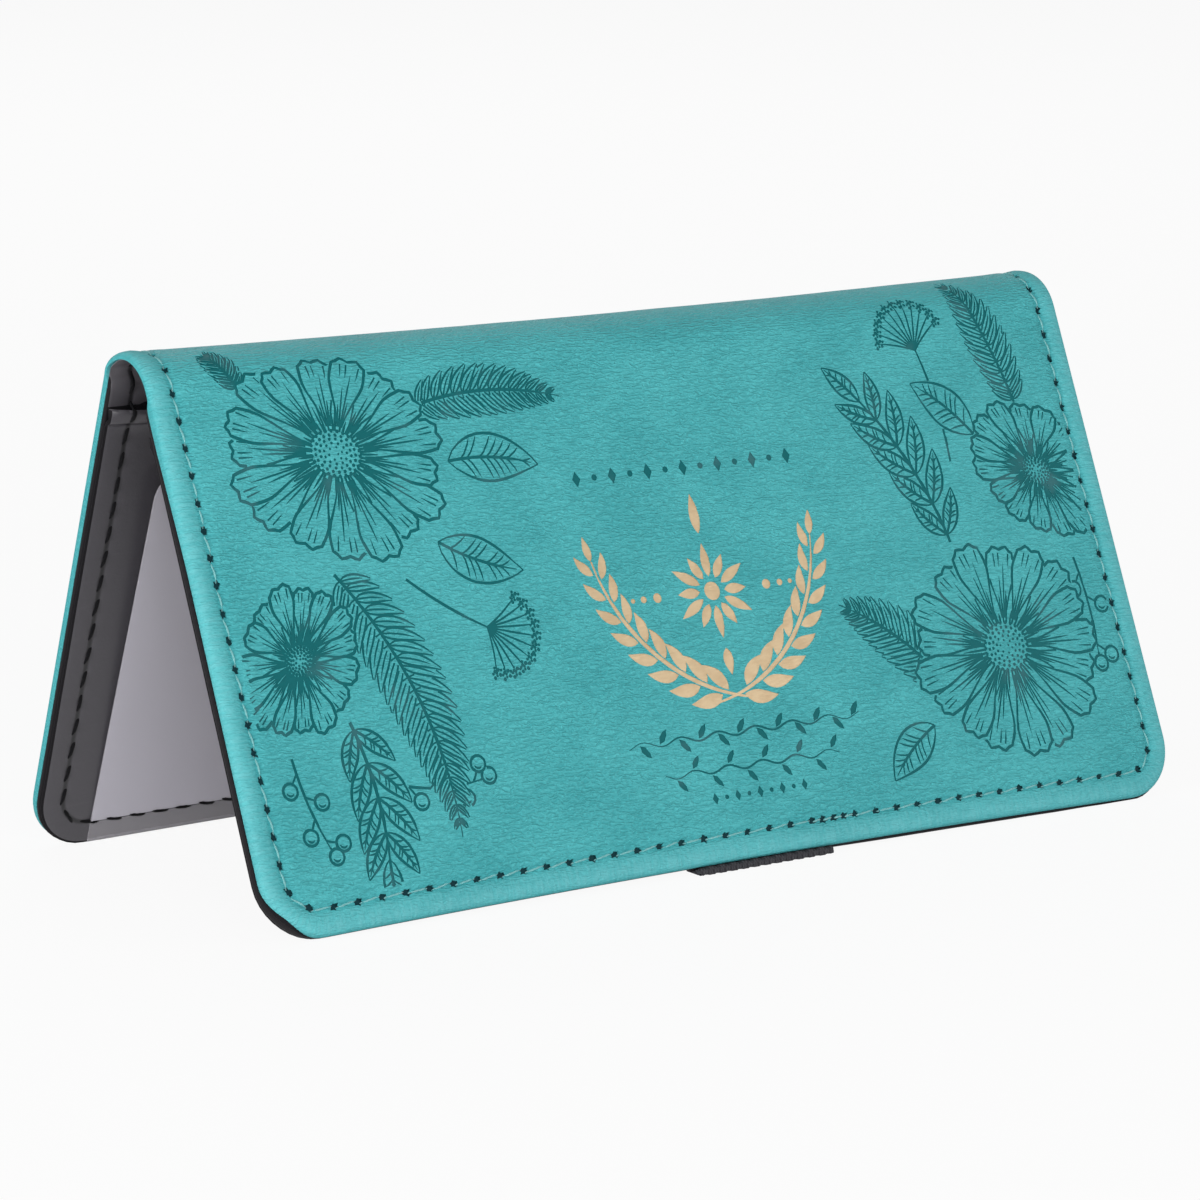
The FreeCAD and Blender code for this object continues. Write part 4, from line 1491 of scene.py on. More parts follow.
# --- Outer leather ---
@dataclass(frozen=True)
class Seam:
    """The row of stitches round the free edges and over both ends of the fold."""

    inset: float = SEAM_INSET
    pitch: float = 4.1
    thread: float = 0.15
    under: float = 0.26
    hole: float = 0.56
    tacked: tuple[float, float] = (14.5, 24.0)
    gap: float = 0.35
    sink: float = 0.5

    @cached_property
    def quarter(self) -> float:
        """Length of the seam from the ridge to the middle of a free edge."""
        return COVER.straight + (COVER.corner - self.inset) * QUARTER + COVER.half - COVER.corner

    @cached_property
    def count(self) -> int:
        """Stitches in a quarter of the seam."""
        return round(self.quarter / self.pitch)

    def at(self, along: float, sign_x: int, sign_s: int) -> tuple[Vector, Vector]:
        """Point and direction of the seam.

        Args:
            along: Distance from the ridge.
            sign_x: 1 on the right, -1 on the left.
            sign_s: 1 on the back, -1 on the front.

        Returns:
            The point and the unit vector along the seam.
        """
        straight, flat = COVER.straight, COVER.flat
        radius = COVER.corner - self.inset
        if along < straight:
            place, way = Vector((flat + radius, along)), Vector((0, 1))
        elif along < straight + radius * QUARTER:
            angle = (along - straight) / radius
            place = Vector((flat + radius * math.cos(angle), straight + radius * math.sin(angle)))
            way = Vector((-math.sin(angle), math.cos(angle)))
        else:
            place = Vector((flat - (along - straight - radius * QUARTER), straight + radius))
            way = Vector((-1, 0))
        return (Vector((place.x * sign_x, COVER.arc / 2 + place.y * sign_s)),
                Vector((way.x * sign_x, way.y * sign_s)))

    def quarters(self) -> list[tuple[int, int]]:
        """The seam's four quarters, as signs of x and s."""
        return [(x, s) for x in (-1, 1) for s in (-1, 1)]

    def stops(self, sign_x: int, sign_s: int) -> list[float]:
        """Needle holes of one quarter, closer where it is back-tacked.

        Args:
            sign_x: 1 on the right, -1 on the left.
            sign_s: 1 on the back, -1 on the front.

        Returns:
            Their distances from the ridge.
        """
        step = self.quarter / self.count
        stops = [i * step for i in range(self.count + 1)]
        if (sign_x, sign_s) == (1, -1):
            far, near = (self.quarter - x for x in self.tacked)
            stops += [i * step + step / 2 for i in range(self.count) if near < i * step < far]
        return sorted(stops)

    def pierce(self, drawing: Drawing) -> None:
        """Presses the needle holes, as ragged stars, into the outer face."""
        for sign_x, sign_s in self.quarters():
            stops = self.stops(sign_x, sign_s)[1 if sign_s > 0 else 0:]
            for along in stops[:-1] if sign_x > 0 else stops:
                place, way = self.at(along, sign_x, sign_s)
                side = Vector((-way.y, way.x))
                star = []
                for j in range(12):
                    angle = math.tau * j / 12 + 0.2
                    reach = self.hole * (1.12 if j % 2 else 0.78) * drawing.random.uniform(0.8, 1.2)
                    star.append(place + (way * 1.45 * math.cos(angle) + side * math.sin(angle)) * reach)
                drawing.press(star, Ink.HOLE)

    def template(self, thread: float) -> Mesh:
        """One stitch along X, of length 1: a thread of two plies that dives at both ends.

        Args:
            thread: Half its thickness.

        Returns:
            The stitch.
        """
        made = bmesh.new()
        flat = made.loops.layers.uv.new("Flat")
        bmesh.ops.create_cone(made, segments=6, radius1=thread, radius2=thread, depth=1, cap_ends=True)
        lengthwise = [e for e in made.edges if abs(e.verts[0].co.z - e.verts[1].co.z) > 0.1]
        bmesh.ops.subdivide_edges(made, edges=lengthwise, cuts=5, use_grid_fill=True)
        for vert in made.verts:
            x, y, along = vert.co
            share = abs(along) * 2
            ply = 1 + 0.24 * math.cos(2 * math.atan2(y, x) - along * 12)
            thin = ply * (1 - 0.45 * share ** 4)
            lift = thread * 0.55 - self.sink * share ** 2.4
            for corner in vert.link_loops:
                corner[flat].uv = (along * 14, math.atan2(y, x))
            vert.co = Vector((along, y * thin, x * thin + lift))
        data = bpy.data.meshes.new("stitch")
        made.to_mesh(data)
        made.free()
        return data

    def sew(self, height: Height, thread: float, inward: bool) -> BMesh:
        """Lays every stitch on a face of the flat cover.

        Args:
            height: The face's height at (x, s).
            thread: Half the thread's thickness.
            inward: Whether the stitches lie on the inside.

        Returns:
            The stitches, still flat.
        """
        stitch = self.template(thread)
        size = len(stitch.vertices)
        jitter = random.Random(3)
        made = bmesh.new()
        for signs in self.quarters():
            stops = self.stops(*signs)
            for start, end in zip(stops, stops[1:]):
                place, way = self.at((start + end) / 2, *signs)
                way = (way + Vector((-way.y, way.x)) * jitter.uniform(0.05, 0.2)).normalized()
                side = Vector((-way.y, way.x)) * (-1 if inward else 1)
                made.from_mesh(stitch)
                made.verts.ensure_lookup_table()
                for vert in made.verts[-size:]:
                    spot = place + way * (vert.co.x * (end - start - self.gap)) + side * vert.co.y
                    lift = -vert.co.z if inward else vert.co.z
                    vert.co = Vector((spot.x, spot.y, height(spot.x, spot.y) + lift))
        bpy.data.meshes.remove(stitch)
        return made


SEAM = Seam()


@dataclass(frozen=True)
class OuterLeather:
    """The teal leather: one sheet over both covers and the fold, turned in at its edges."""

    palette: Materials
    step: float = 1.0
    bend_step: float = 0.45
    fill: float = 2.4
    fold_fill: float = 1.6
    clear: float = 7.5
    insets: tuple[float, ...] = (0.4, 0.8, 1.3, 1.9, 2.6, 3.2, 3.6, 4.4, 4.8, 5.5, 6.5)
    rings: tuple[tuple[float, float], ...] = ((0.15, 0.0), (0.02, 0.25), (0.0, 0.5), (0.06, 1.0),
                                              (0.45, 1.02), (0.7, 0.92))
    under_inset: float = 0.75
    rolled: float = 0.42
    stamp_depth: float = 0.1
    hole_depth: float = 0.3
    turned: float = 1.75
    fold_turned: float = 1.0
    pleat: float = 0.75
    thickness: float = 0.78

    def height(self, x: float, s: float) -> float:
        """Height of the outer face: the rolled rim, the seam's valley and slow waves.

        Args:
            x: Place along the spine.
            s: Place over the cover.

        Returns:
            The height.
        """
        distance, along, _, _ = COVER.edge(x, s)
        rolled = -self.rolled * (1 - min(distance / 1.1, 1.0)) ** 2.2
        padded = 0.16 * ridge(distance, 1.9, 1.0) + 0.05 * ridge(distance, 6.0, 1.1)
        pull = 0.5 + 0.5 * math.cos(math.tau * along / (SEAM.quarter / SEAM.count))
        valley = (0.19 + 0.12 * pull) * ridge(distance, SEAM.inset, 0.62)
        crease = 0.035 * noise.noise(Vector((along * 0.9, distance * 0.35, 3))) * ridge(distance, 2.2, 1.4)
        waves = (0.07 * noise.noise(Vector((x / 24, s / 18, 0)))
                 + 0.03 * noise.noise(Vector((x / 7, s / 5, 4))))
        return rolled + padded - valley + crease + waves * smooth(distance, 2, 9)

    def drawing(self) -> Drawing:
        """Draws everything that is pressed into the outer face.

        Returns:
            The drawing, the nearest motifs first.
        """
        pen = Drawing()
        plants = Botanist(pen)
        plants.daisy(58, -55, 19.5, 17, 0.9, 0.35)
        plants.daisy(73, -27, 13.5, 15, 0.78, -0.6)
        plants.daisy(-57, -12, 19, 17, 0.84, -0.25)
        plants.daisy(-71, -42, 12.5, 15, 0.76, 0.9)
        plants.leaf(Shoot(-38, -15, 0.1, 16, -0.45), 7.5, 8)
        plants.leaf(Shoot(-43, -27, -0.6, 15, 0.4), 7.0, 7)
        plants.leaf(Shoot(40, -66, 3.6, 13, 0.4), 6.0, 7)
        plants.leaf(Shoot(62, -20, 2.2, 14, 0.4), 6.5, 7)
        plants.sprig(Shoot(52, -37, 1.75, 27, 0.5), 5, 9.0)
        plants.sprig(Shoot(-65, -52, -1.3, 21, -0.4), 4, 8.5)
        plants.frond(Shoot(46, -62, 2.1, 26, 0.6), 15, 7.5)
        plants.frond(Shoot(72, -16, 1.75, 25, 0.25), 14, 6.5)
        plants.frond(Shoot(-42, -6, 0.25, 27, -0.55), 15, 6.5)
        plants.frond(Shoot(-62, -30, -0.95, 44, -0.7), 21, 8.5)
        plants.frond(Shoot(-71, -1, 1.9, 8, 0.3), 8, 4.0)
        plants.umbel(Shoot(-50, -32, -0.75, 15, 0.25), 8.5)
        plants.umbel(Shoot(56, -24, 1.5, 19, 0.3), 8.5)
        plants.berries(Shoot(-60, -62, -0.35, 15, 0.5), 4, 1.25)
        plants.berries(Shoot(76, -42, -1.4, 16, -0.3), 4, 1.3)
        plants.berries(Shoot(-76, -56, -1.5, 14, 0.3), 4, 1.2)
        ornament = Ornament(pen, Vector((4, -43)))
        ornament.gold()
        ornament.beads(-23.0, 40, 2.6)
        ornament.vine(19.4, 44, 3.2)
        ornament.vine(24.8, 33, 2.9)
        ornament.beads(29.2, 17, 1.9)
        SEAM.pierce(pen)
        return pen

    def sheet(self, drawing: Drawing) -> FlatSheet:
        """Lays out the lines of the stamped sheet.

        Args:
            drawing: What is pressed in.

        Returns:
            The sheet.
        """
        sheet = FlatSheet()
        for inset in self.insets:
            sheet.loop(COVER.loop(inset, self.step, self.bend_step))
        limit, low = COVER.half - self.clear, COVER.panel - self.clear
        sheet.rows(spread(-low, -2, self.fill), limit, self.fill)
        sheet.rows(spread(-2, COVER.arc + 2, self.bend_step)[1:-1], limit, self.fold_fill)
        sheet.rows(spread(COVER.arc + 2, COVER.arc + COVER.panel - self.clear, self.fill), limit, self.fill)
        base = len(sheet.points)
        sheet.points += drawing.points
        sheet.edges += [(a + base, b + base) for a, b in drawing.edges]
        return sheet

    def press(self, mesh: BMesh, drawing: Drawing) -> None:
        """Inks the faces under the stamp and sinks them.

        Args:
            mesh: The flat sheet.
            drawing: What is pressed in.
        """
        pressed: dict[Ink, list[BMFace]] = {ink: [] for ink in Ink}
        for face in mesh.faces:
            ink = drawing.ink_at(face.calc_center_median().to_2d())
            face.material_index = ink.value
            pressed[ink].append(face)
        for ink, depth in ((Ink.STAMP, self.stamp_depth), (Ink.FOIL, self.stamp_depth * 0.8),
                           (Ink.HOLE, self.hole_depth)):
            grown = bmesh.ops.extrude_face_region(mesh, geom=pressed[ink])["geom"]
            bmesh.ops.delete(mesh, geom=pressed[ink], context="FACES")
            sunk = [g for g in grown if isinstance(g, BMVert)]
            bmesh.ops.translate(mesh, verts=sunk, vec=(0, 0, -depth))

    def flat(self) -> BMesh:
        """Makes the whole stamped sheet with its turned edges, still flat.

        Returns:
            The mesh, closed.
        """
        drawing = self.drawing()
        mesh = self.sheet(drawing).mesh(self.height)
        rim = rim_edges(mesh)
        self.press(mesh, drawing)
        rings = [lambda x, s, inset=inset, share=share: (inset, self.edge_height(s, share))
                 for inset, share in self.rings]
        wall(mesh, [e for e in rim if e.is_valid], rings + [lambda x, s: (self.under_inset, -self.thickness)])
        inner = FlatSheet()
        inner.loop(COVER.loop(self.under_inset, self.step, self.bend_step))
        inner.rows(spread(0, COVER.arc, 1.0), COVER.half - 3, 6)
        under = inner.mesh(lambda x, s: -self.thickness)
        data = bpy.data.meshes.new("under")
        under.to_mesh(data)
        under.free()
        mesh.from_mesh(data)
        bpy.data.meshes.remove(data)
        met = [v for v in mesh.verts if abs(v.co.z + self.thickness) < 1e-4]
        bmesh.ops.remove_doubles(mesh, verts=met, dist=0.002)
        bmesh.ops.recalc_face_normals(mesh, faces=mesh.faces)
        return mesh

    def edge_height(self, s: float, share: float) -> float:
        """Height on the turned edge, which is thinner over the fold, where there is no board."""
        depth = self.fold_turned + (self.turned - self.fold_turned) * smooth(COVER.drop(s), *FOLD_RAMP)
        return -self.rolled - (depth - self.rolled) * share

    def build(self) -> None:
        """Makes the three lengths of leather, drawn in at the corner where they are pleated."""
        mesh = self.flat()
        for vert in mesh.verts:
            distance, _, out_x, out_s = COVER.edge(vert.co.x, vert.co.y)
            pull = self.pleat * COVER.pleat(vert.co.x, vert.co.y) * (1 - smooth(distance, 0.4, 3.6))
            vert.co.x -= out_x * pull
            vert.co.y -= out_s * pull
        faces = [self.palette[name] for name in ("teal", "stamp", "foil", "hole")]
        add_spans("outer_leather", mesh, faces, 38.0, "leather", finish_flat)

    def sew(self) -> None:
        """Makes the top thread."""
        mesh = SEAM.sew(self.height, SEAM.thread, False)
        add_spans("top_thread", mesh, [self.palette["thread"]], 80.0, "thread", bend)


# --- Inside ---
@dataclass(frozen=True)
class Inside:
    """Lining, slip pockets, vinyl flap and the under thread of the seam."""

    palette: Materials
    panel_depth: float = 2.6
    fold_depth: float = 1.14
    wall_top: float = 1.77
    fold_wall_top: float = 1.02
    insets: tuple[float, ...] = (0.75, 1.6, 2.6, 3.4, 4.0, 4.6, 5.6)
    rings: tuple[tuple[float, float], ...] = ((0.32, 0.02), (0.12, 0.12), (0.06, 0.3), (0.05, 0.7),
                                              (0.12, 0.97), (0.4, 1.0), (0.72, 0.96))
    clear: float = 6.5
    pocket: float = 0.4
    pocket_insets: tuple[float, ...] = (0.6, 1.6, 2.8, 3.4, 4.0, 4.6, 5.6)
    mouth: float = 6.0
    hem: float = 2.5
    hem_rise: float = 0.5
    gape: float = 1.25
    slack: float = 0.4
    vinyl: float = 0.3
    flap_side: float = 76.25
    flap_top: float = 16.0
    flap_seam: float = 78.0
    flap_lift: float = 1.9
    flap_corner: float = 5.0
    leaf_gap: float = 0.06
    margin_gap: float = 0.04
    seam_gap: float = 0.15
    foot_gap: float = 0.45
    fold_inset: float = 0.62

    def fold(self, s: float) -> float:
        """1 on the covers and 0 over the fold."""
        return smooth(COVER.drop(s), *FOLD_RAMP)

    def depth(self, s: float) -> float:
        """Depth of the lining's face below the outer face."""
        return self.fold_depth + (self.panel_depth - self.fold_depth) * self.fold(s)

    def lining_height(self, x: float, s: float) -> float:
        """Height of the lining's face, with the seam's valley and small creases at the fold."""
        valley = 0.16 * ridge(COVER.edge(x, s)[0], SEAM.inset, 0.6)
        creases = 0.09 * noise.noise(Vector((x / 9, s / 1.3, 8))) * ridge(COVER.drop(s), 0, 5)
        return -self.depth(s) + valley + creases

    def hem_height(self, drop: float, distance: float) -> float:
        """How far the pocket's hem stands up: rolled at the mouth, agape between the side seams.

        Args:
            drop: Distance below the crease.
            distance: Distance in from the outline.

        Returns:
            The height over the flat pocket.
        """
        share = min(max((drop - self.mouth) / self.hem, 0.0), 1.0)
        roll = math.sqrt(1 - (1 - min(share / 0.26, 1.0)) ** 2)
        step = 1 - smooth(share, 0.93, 1.0)
        gape = self.gape * smooth(distance, -1, 6) * (1 - smooth(drop, self.mouth, self.mouth + 4.5))
        return self.hem_rise * roll * step + gape

    def pocket_height(self, x: float, s: float) -> float:
        """Height of the pocket's face.

        Args:
            x: Place along the spine.
            s: Place over the cover.

        Returns:
            The height.
        """
        distance, drop = COVER.edge(x, s)[0], COVER.drop(s)
        valley = 0.2 * ridge(distance, SEAM.inset, 0.6)
        waves = 0.05 * noise.noise(Vector((x / 21, s / 15, 2)))
        groove = 0.2 * ridge(drop, self.mouth + self.hem + 0.1, 0.3)
        rim = 0.16 * (1 - min(distance / 0.8, 1)) ** 2
        hem = self.hem_height(drop, distance)
        return -self.panel_depth - self.pocket - hem + valley + waves + rim + groove

    def face_height(self, x: float, s: float) -> float:
        """Height of whatever face lies innermost, for the under thread.

        Args:
            x: Place along the spine.
            s: Place over the cover.

        Returns:
            The height.
        """
        drop = COVER.drop(s)
        if drop < self.mouth:
            return self.lining_height(x, s)
        height = self.pocket_height(x, s)
        over_vinyl = s > 0 and abs(x) < self.flap_side and drop > self.flap_seam - 2
        return height - self.vinyl - self.margin_gap if over_vinyl else height

    def ring(self, inset: float, share: float) -> Ring:
        """A ring of the lining's wall.

        Args:
            inset: Its inset on the covers.
            share: Its share of the wall's height.

        Returns:
            What gives its inset and height at (x, s); the front's free edge is slack.
        """
        def place(x: float, s: float) -> tuple[float, float]:
            """Inset and height at (x, s)."""
            fold, base, bare = self.fold(s), self.depth(s), COVER.pleat(x, s)
            top = self.fold_wall_top + (self.wall_top - self.fold_wall_top) * fold - 1.15 * bare
            slack = self.slack * smooth(x, -10, 30) * smooth(-s, COVER.panel - 9, COVER.panel - 3)
            turn = 0.7 * bare if inset > 0.3 and share > 0.5 else 0
            reach = self.fold_inset + (inset - self.fold_inset) * fold
            return reach - slack + turn, -(base + (top - base) * share)
        return place

    def lining(self) -> None:
        """Makes the lining: a tray whose wall meets the leather's turned edge."""
        sheet = FlatSheet()
        for inset in self.insets:
            sheet.loop(COVER.loop(inset, 1.3, 0.5))
        limit = COVER.half - self.clear
        sheet.rows(spread(-7, COVER.arc + 7, 0.5), limit, 2.2)
        on_panels = spread(10, COVER.panel - 8, 7)
        sheet.rows((COVER.station(side, drop) for side in Side for drop in on_panels), limit, 7)
        mesh = sheet.mesh(self.lining_height)
        last = self.insets[0]
        wall(mesh, rim_edges(mesh), [self.ring(*place) for place in self.rings]
             + [lambda x, s: (last, -self.depth(s) + 0.3)])
        blacken_edge(mesh)
        # Faces at the pleat's bare corner take the black edge finish, and so do the lining's faces under each
        # pocket's mouth, as a painted shadow in the slit behind the hem.
        for face in mesh.faces:
            x, s, _ = face.calc_center_median()
            bare = COVER.pleat(x, s) > 0.02 and COVER.edge(x, s)[0] < 1.7
            if bare or self.mouth - 0.5 < COVER.drop(s) < self.mouth + 3:
                face.material_index = 1
        bmesh.ops.reverse_faces(mesh, faces=mesh.faces)
        faces = [self.palette["lining"], self.palette["piping"]]
        add_spans("lining", mesh, faces, 50.0, "lining", finish_flat)

    def slip_pocket(self, side: Side) -> None:
        """Makes one slip pocket, with the hem along its mouth standing off the lining.

        Args:
            side: The cover that it is sewn to.
        """
        sheet = FlatSheet()
        sheet.loop(panel_loop(0.2, self.mouth, 1.5))
        hem_end = self.mouth + self.hem
        for inset in self.pocket_insets:
            sheet.points += [p for p in panel_loop(inset, self.mouth, 1.0) if p.y > hem_end + 0.8]
        limit = COVER.half - self.clear
        sides = [sign * (COVER.half - inset) for inset in self.pocket_insets for sign in (-1, 1)]
        for start, end, step, more in (
                (self.mouth + 0.08, self.mouth + 0.72, 0.12, sides),
                (self.mouth + 1, hem_end - 0.25, 0.3, sides), (hem_end - 0.12, hem_end + 0.6, 0.12, sides),
                (hem_end + 1.2, hem_end + 4, 1, ()), (hem_end + 6, COVER.panel - 8, 3.5, ())):
            sheet.rows(spread(start, end, step), limit, 3.2, more)
        mesh = sheet.on_cover(side, lambda x, drop: self.pocket_height(x, COVER.station(side, drop)))
        thicken(mesh, self.pocket - 0.02, up=True)
        blacken_edge(mesh)
        finish_flat(mesh)
        piece = add_piece(f"{side.value}_slip_pocket", mesh, [self.palette["lining"], self.palette["piping"]],
                          45.0)
        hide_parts(f"{side.value}_pocket")
        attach(piece, f"{side.value}_cover")
        (COVER.panel - self.mouth) * MM

    def vinyl_strip(self, name: str, face: str, top: float, end: float, radius: float,
                    height: Height) -> Object:
        """Makes one piece of vinyl on the back cover.

        Args:
            name: Its name.
            face: The finish of its faces.
            top: Its upper edge, below the crease.
            end: Its lower edge.
            radius: Rounding of its two upper corners.
            height: Its height at (x, drop).

        Returns:
            The object.
        """
        sheet = FlatSheet()
        sheet.loop(self.rounded_top(top, end, radius))
        sheet.rows(spread(top, end, 2.5)[1:-1], self.flap_side - 6, 4)
        mesh = sheet.on_cover(Side.BACK, height)
        thicken(mesh, self.vinyl * 0.8, up=False)
        # The cut sides take the sewn vinyl's darker finish, which is painted shade along the flap's edge.
        for side in mesh.faces:
            side.material_index = int(abs(side.normal.z) < 0.6)
        finish_flat(mesh, unrolled=False)
        return add_piece(name, mesh, [self.palette[face], self.palette["sewn_vinyl"]], 30.0)

    def leaf_height(self, x: float, drop: float) -> float:
        """Height of the flap: it springs away from the pocket towards its free edge."""
        share = (self.flap_seam - drop) / (self.flap_seam - self.flap_top)
        bow = self.flap_lift * share ** 1.03 + 0.09 * math.sin(x / 19) * share
        return -(self.panel_depth + self.pocket) - self.leaf_gap - bow

    def margin_height(self, x: float, drop: float) -> float:
        """Height of the flap's sewn margin, which lies on the pocket."""
        return self.pocket_height(x, COVER.station(Side.BACK, drop)) - self.margin_gap

    def flap(self) -> None:
        """Makes the clear flap and its sewn margin on the back cover."""
        end = self.flap_seam - self.seam_gap
        leaf = self.vinyl_strip("clear_flap", "vinyl", self.flap_top, end, self.flap_corner, self.leaf_height)
        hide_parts("divider_flap")
        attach(leaf, "divider_flap")
        2 * self.flap_side * MM
        (end - self.flap_top) * MM
        margin = self.vinyl_strip("flap_margin_strip", "sewn_vinyl", self.flap_seam + self.seam_gap,
                                  COVER.panel - self.foot_gap, 0.0, self.margin_height)
        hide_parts("flap_margin")
        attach(margin, "back_cover")

    def rounded_top(self, top: float, end: float, radius: float) -> list[Vector]:
        """Outline of the vinyl, with its two upper corners rounded.

        Args:
            top: Its upper edge, below the crease.
            end: Its lower edge.
            radius: Radius of the corners.

        Returns:
            The points (x, drop), once round.
        """
        side, low = self.flap_side, top + radius
        turn = spread(0, QUARTER, 0.16)[1:] if radius else []
        return ([Vector((x, end)) for x in spread(-side, side, 3)]
                + [Vector((side, d)) for d in spread(end, low, 3)[1:]]
                + [Vector((side - radius + radius * math.cos(a), low - radius * math.sin(a))) for a in turn]
                + [Vector((x, top)) for x in spread(side - radius, -side + radius, 3)[1:]]
                + [Vector((-side + radius - radius * math.sin(a), low - radius * math.cos(a))) for a in turn]
                + [Vector((-side, d)) for d in spread(low, end, 3)[1:-1]])

    def build(self) -> None:
        """Makes every inner piece."""
        self.lining()
        for side in Side:
            self.slip_pocket(side)
        self.flap()
        mesh = SEAM.sew(self.face_height, SEAM.under, True)
        add_spans("under_thread", mesh, [self.palette["black_thread"]], 80.0, None, bend)


@dataclass(frozen=True)
class PenLoop:
    """The elastic band behind the front's free edge, hooked under that edge."""

    palette: Materials
    left: float = -10.0
    width: float = 25.3
    band: float = 0.76
    seat: float = 3.05
    open: float = 5.8
    foot: float = 77.6
    height: float = 15.0
    bend: float = 2.6
    edge: float = 81.2
    front: float = 0.55
    rib: float = 1.05
    knit: float = 0.9

    def path(self) -> list[Vector]:
        """Lays out the middle line of the band.

        Returns:
            Its points, as (depth, drop).
        """
        near, far = self.seat + self.band / 2, self.seat + 1.5 * self.band + self.open
        low, high = self.foot - self.band / 2, self.foot - self.height + self.band / 2
        under = self.edge + self.band / 2 + 0.04
        turn, lower = self.band / 2, under + self.band
        corners = [(2.4, lower, 0), (self.front, lower, turn), (self.front, under, turn), (near, under, 0.5),
                   (near, high, 0.9), (far, high, self.bend), (far, low, self.bend),
                   (near + self.band, low, 0)]
        spots = [Vector(corner[:2]) for corner in corners]
        points = [spots[0]]
        for before, here, after, (_, _, radius) in zip(spots, spots[1:], spots[2:], corners[1:]):
            first = here + (before - here).normalized() * radius
            second = here + (after - here).normalized() * radius
            points += [first.lerp(here, share).lerp(here.lerp(second, share), share)
                       for share in (0, 0.25, 0.5, 0.75, 1)]
        points.append(spots[-1])
        dense = [points[0]]
        for before, here in zip(points, points[1:]):
            count = max(1, round((here - before).length / 0.3))
            dense += [before.lerp(here, (i + 1) / count) for i in range(count)]
        return dense

    def build(self) -> None:
        """Makes the band: a ribbed strip, swept along its path."""
        path = self.path()
        columns = round(self.width / self.rib * 6)
        mesh = bmesh.new()
        bmesh.ops.create_grid(mesh, x_segments=columns, y_segments=len(path) - 1, size=0.5)
        flat = mesh.loops.layers.uv.new("Flat")
        lengths = [0.0]
        for before, here in zip(path, path[1:]):
            lengths.append(lengths[-1] + (here - before).length)
        for vert in mesh.verts:
            share, step = vert.co.x + 0.5, round((vert.co.y + 0.5) * (len(path) - 1))
            x, along = self.left + self.width * share, lengths[step]
            for corner in vert.link_loops:
                corner[flat].uv = (x, along)
            ribs = abs(math.sin(math.pi * x / self.rib)) ** 0.6
            weft = math.sin(math.tau * (along / self.knit + 0.5 * math.floor(x / self.rib)))
            selvedge = 0.12 * (ridge(share, 0, 0.03) + ridge(share, 1, 0.03))
            rise = 0.16 * ribs + 0.1 * weft * ribs + selvedge
            wobble = 0.1 * math.sin(along / 6) * (2 * share - 1)
            spot = path[step] + across(path, step) * (rise - self.band / 2)
            vert.co = Vector((x + wobble, -spot.y, -spot.x))
        thicken(mesh, self.band)
        bend(mesh, drawn=False)
        piece = add_piece("elastic_pen_loop", mesh, [self.palette["elastic"]], 60.0)
        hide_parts("pen_loop")
        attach(piece, "front_cover")


@dataclass(frozen=True)
class Stiffening:
    """Board and thin foam, sealed between the leather and the lining of each cover."""

    palette: Materials
    top: float = 3.6
    inset: float = 2.2
    upper: float = -0.8
    thickness: float = 0.38

    def pad(self, side: Side) -> None:
        """Makes the foam of one cover, with soft edges.

        Args:
            side: The cover.
        """
        sheet = FlatSheet()
        for inset in (self.inset, self.inset + 0.5, self.inset + 1.5):
            sheet.loop(panel_loop(inset, self.top + inset - self.inset, 2.5))
        sheet.rows(spread(self.top + 4, COVER.panel - 5, 6), COVER.half - 5, 6)

        def height(x: float, drop: float) -> float:
            """Height of the foam's lower face."""
            s = COVER.station(side, drop)
            distance = min(COVER.edge(x, s)[0] - self.inset, drop - self.top)
            soft = 0.12 * (1 - smooth(distance, 0, 1.4))
            return self.upper - soft + 0.02 * noise.noise(Vector((x / 3, s / 3, 5))) - self.thickness

        mesh = sheet.on_cover(side, height)
        thicken(mesh, self.thickness, up=True)
        finish_flat(mesh)
        piece = add_piece(f"{side.value}_foam", mesh, [self.palette["foam"]])
        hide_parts(f"{side.value}_padding")
        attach(piece, f"{side.value}_cover")

    def build(self) -> None:
        """Makes the foam and dresses the boards."""
        for side in Side:
            self.pad(side)
            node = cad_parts[f"{side.value}_board"]
            node.data.materials.clear()
            node.data.materials.append(self.palette["board"])
            log.info("%s: dressed", node.name)


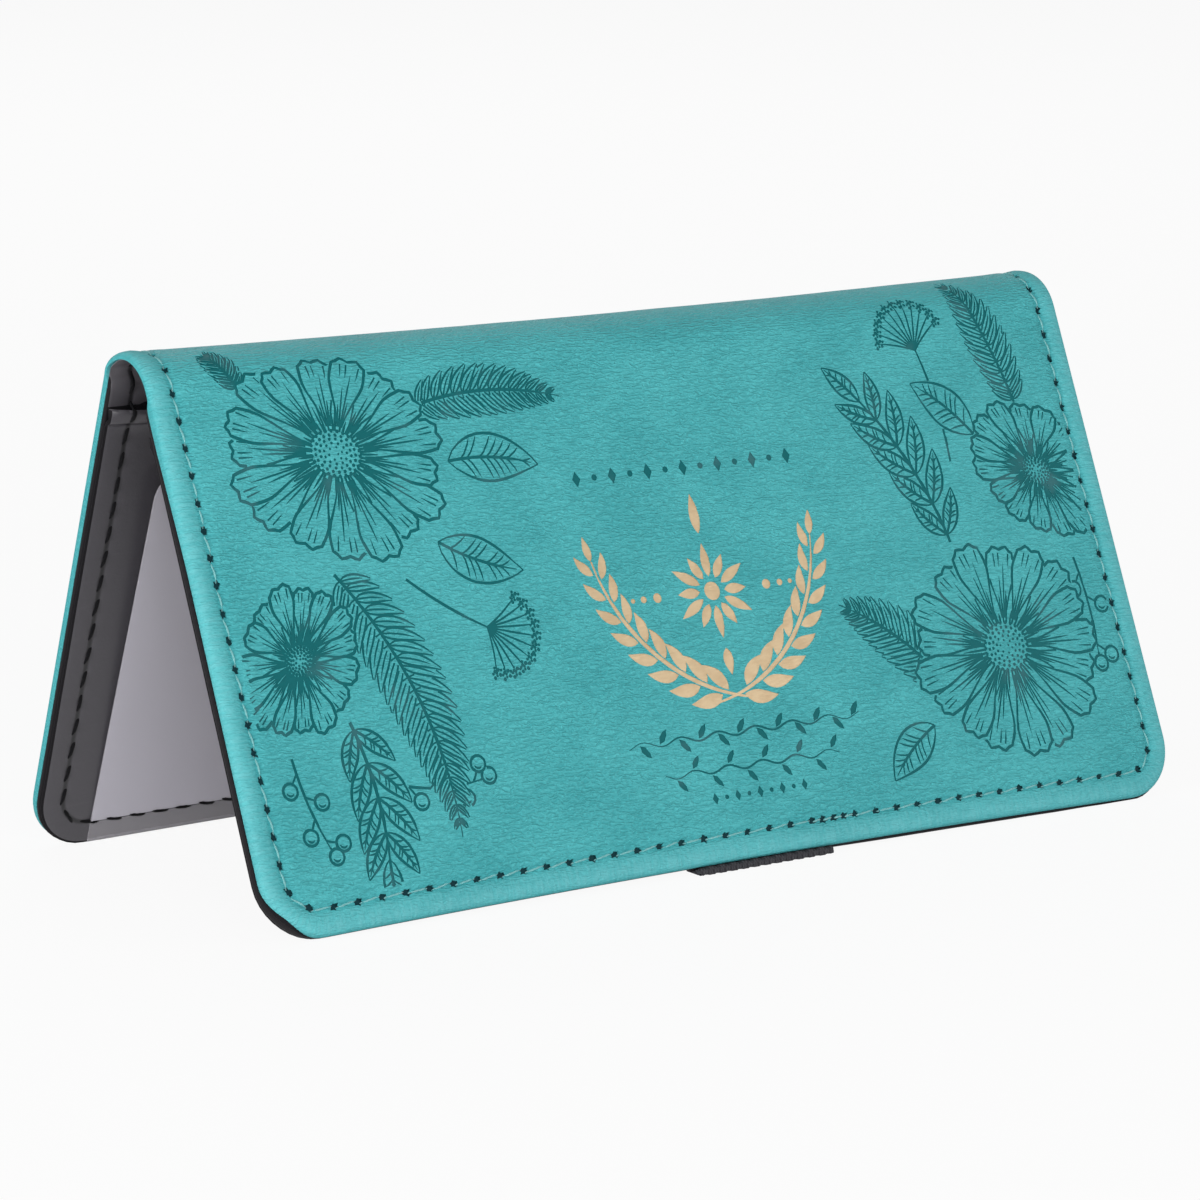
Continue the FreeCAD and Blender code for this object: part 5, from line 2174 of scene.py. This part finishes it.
# --- Studio ---
@dataclass(frozen=True)
class Studio:
    """Pale floor, soft lights and the camera."""

    focal_pixels: float = 4923.0
    yaw: float = math.radians(35.51)
    pitch: float = math.radians(11.29)
    roll: float = math.radians(0.45)
    eye: tuple[float, float, float] = (-439.9, -611.8, 185.7)
    floor_size: float = 16.0
    floor_colour: Colour = (0.93, 0.93, 0.93)
    ambient: float = 0.22
    aim: tuple[float, float, float] = (0, 0, 0.045)
    lamps: tuple[tuple[str, tuple[float, ...], tuple[float, float], float], ...] = (
        ("key", (-0.5, -1.25, 0.36), (0.9, 0.6), 10.2),
        ("fill", (1.0, -0.95, 0.25), (0.8, 0.5), 3.9),
        ("inner", (-1.15, -0.36, 0.34), (0.5, 0.4), 5.2),
        ("rear", (0.45, 1.1, 0.95), (0.9, 0.7), 4.5),
        ("low", (-0.75, -0.1, 0.08), (0.35, 0.12), 1.6))

    def camera(self) -> None:
        """Makes the camera."""
        data = bpy.data.cameras.new("camera")
        data.sensor_width = SENSOR_MM
        data.lens = SENSOR_MM * self.focal_pixels / IMAGE_PIXELS
        data.clip_start, data.clip_end = 0.05, 20
        made = bpy.data.objects.new("camera", data)
        made.rotation_mode = "XYZ"
        made.location = Vector(self.eye) * MM
        ahead = Vector((math.sin(self.yaw) * math.cos(self.pitch), math.cos(self.yaw) * math.cos(self.pitch),
                        -math.sin(self.pitch)))
        turn = ahead.to_track_quat("-Z", "Y").to_matrix()
        made.rotation_euler = (turn @ Matrix.Rotation(self.roll, 3, "Z")).to_euler()
        bpy.context.scene.collection.objects.link(made)
        bpy.context.scene.camera = made

    def lamp(self, name: str, place: Sequence[float], size: tuple[float, float], watts: float) -> None:
        """Adds a soft box that faces the cover.

        Args:
            name: Its name.
            place: Where it stands, in metres.
            size: Its width and height.
            watts: Its power.
        """
        data = bpy.data.lights.new(name, "AREA")
        data.shape = "RECTANGLE"
        data.size, data.size_y = size
        data.energy = watts
        made = bpy.data.objects.new(name, data)
        made.location = place
        made.rotation_euler = (Vector(self.aim) - Vector(place)).to_track_quat("-Z", "Y").to_euler()
        bpy.context.scene.collection.objects.link(made)

    def world(self) -> None:
        """Makes the surroundings: soft light, and white where they are seen."""
        made = bpy.data.worlds.new("studio")
        paint = Paint(made)
        soft, white = (paint.node("ShaderNodeBackground", {}, {"Color": (1, 1, 1), "Strength": strength})
                       for strength in (self.ambient, 1.0))
        paint.whitened("ShaderNodeOutputWorld", paint.seen(), soft, white)
        bpy.context.scene.world = made

    def floor(self) -> None:
        """Makes the floor."""
        mesh = bmesh.new()
        bmesh.ops.create_grid(mesh, x_segments=4, y_segments=4, size=self.floor_size / 2)
        add_object("floor", mesh, [Paper("floor_paper", self.floor_colour).build()])

    def build(self) -> None:
        """Makes the studio."""
        bpy.context.scene.view_settings.view_transform = "Standard"
        self.camera()
        self.world()
        self.floor()
        for lamp in self.lamps:
            self.lamp(*lamp)


def main() -> None:
    """Builds the cover and the studio."""
    logging.basicConfig(level=logging.INFO, format="%(name)s %(message)s")
    Studio().build()
    palette = Palette().build()
    leather = OuterLeather(palette)
    leather.build()
    leather.sew()
    Inside(palette).build()
    PenLoop(palette).build()
    Stiffening(palette).build()


if __name__ == "__main__":
    main()
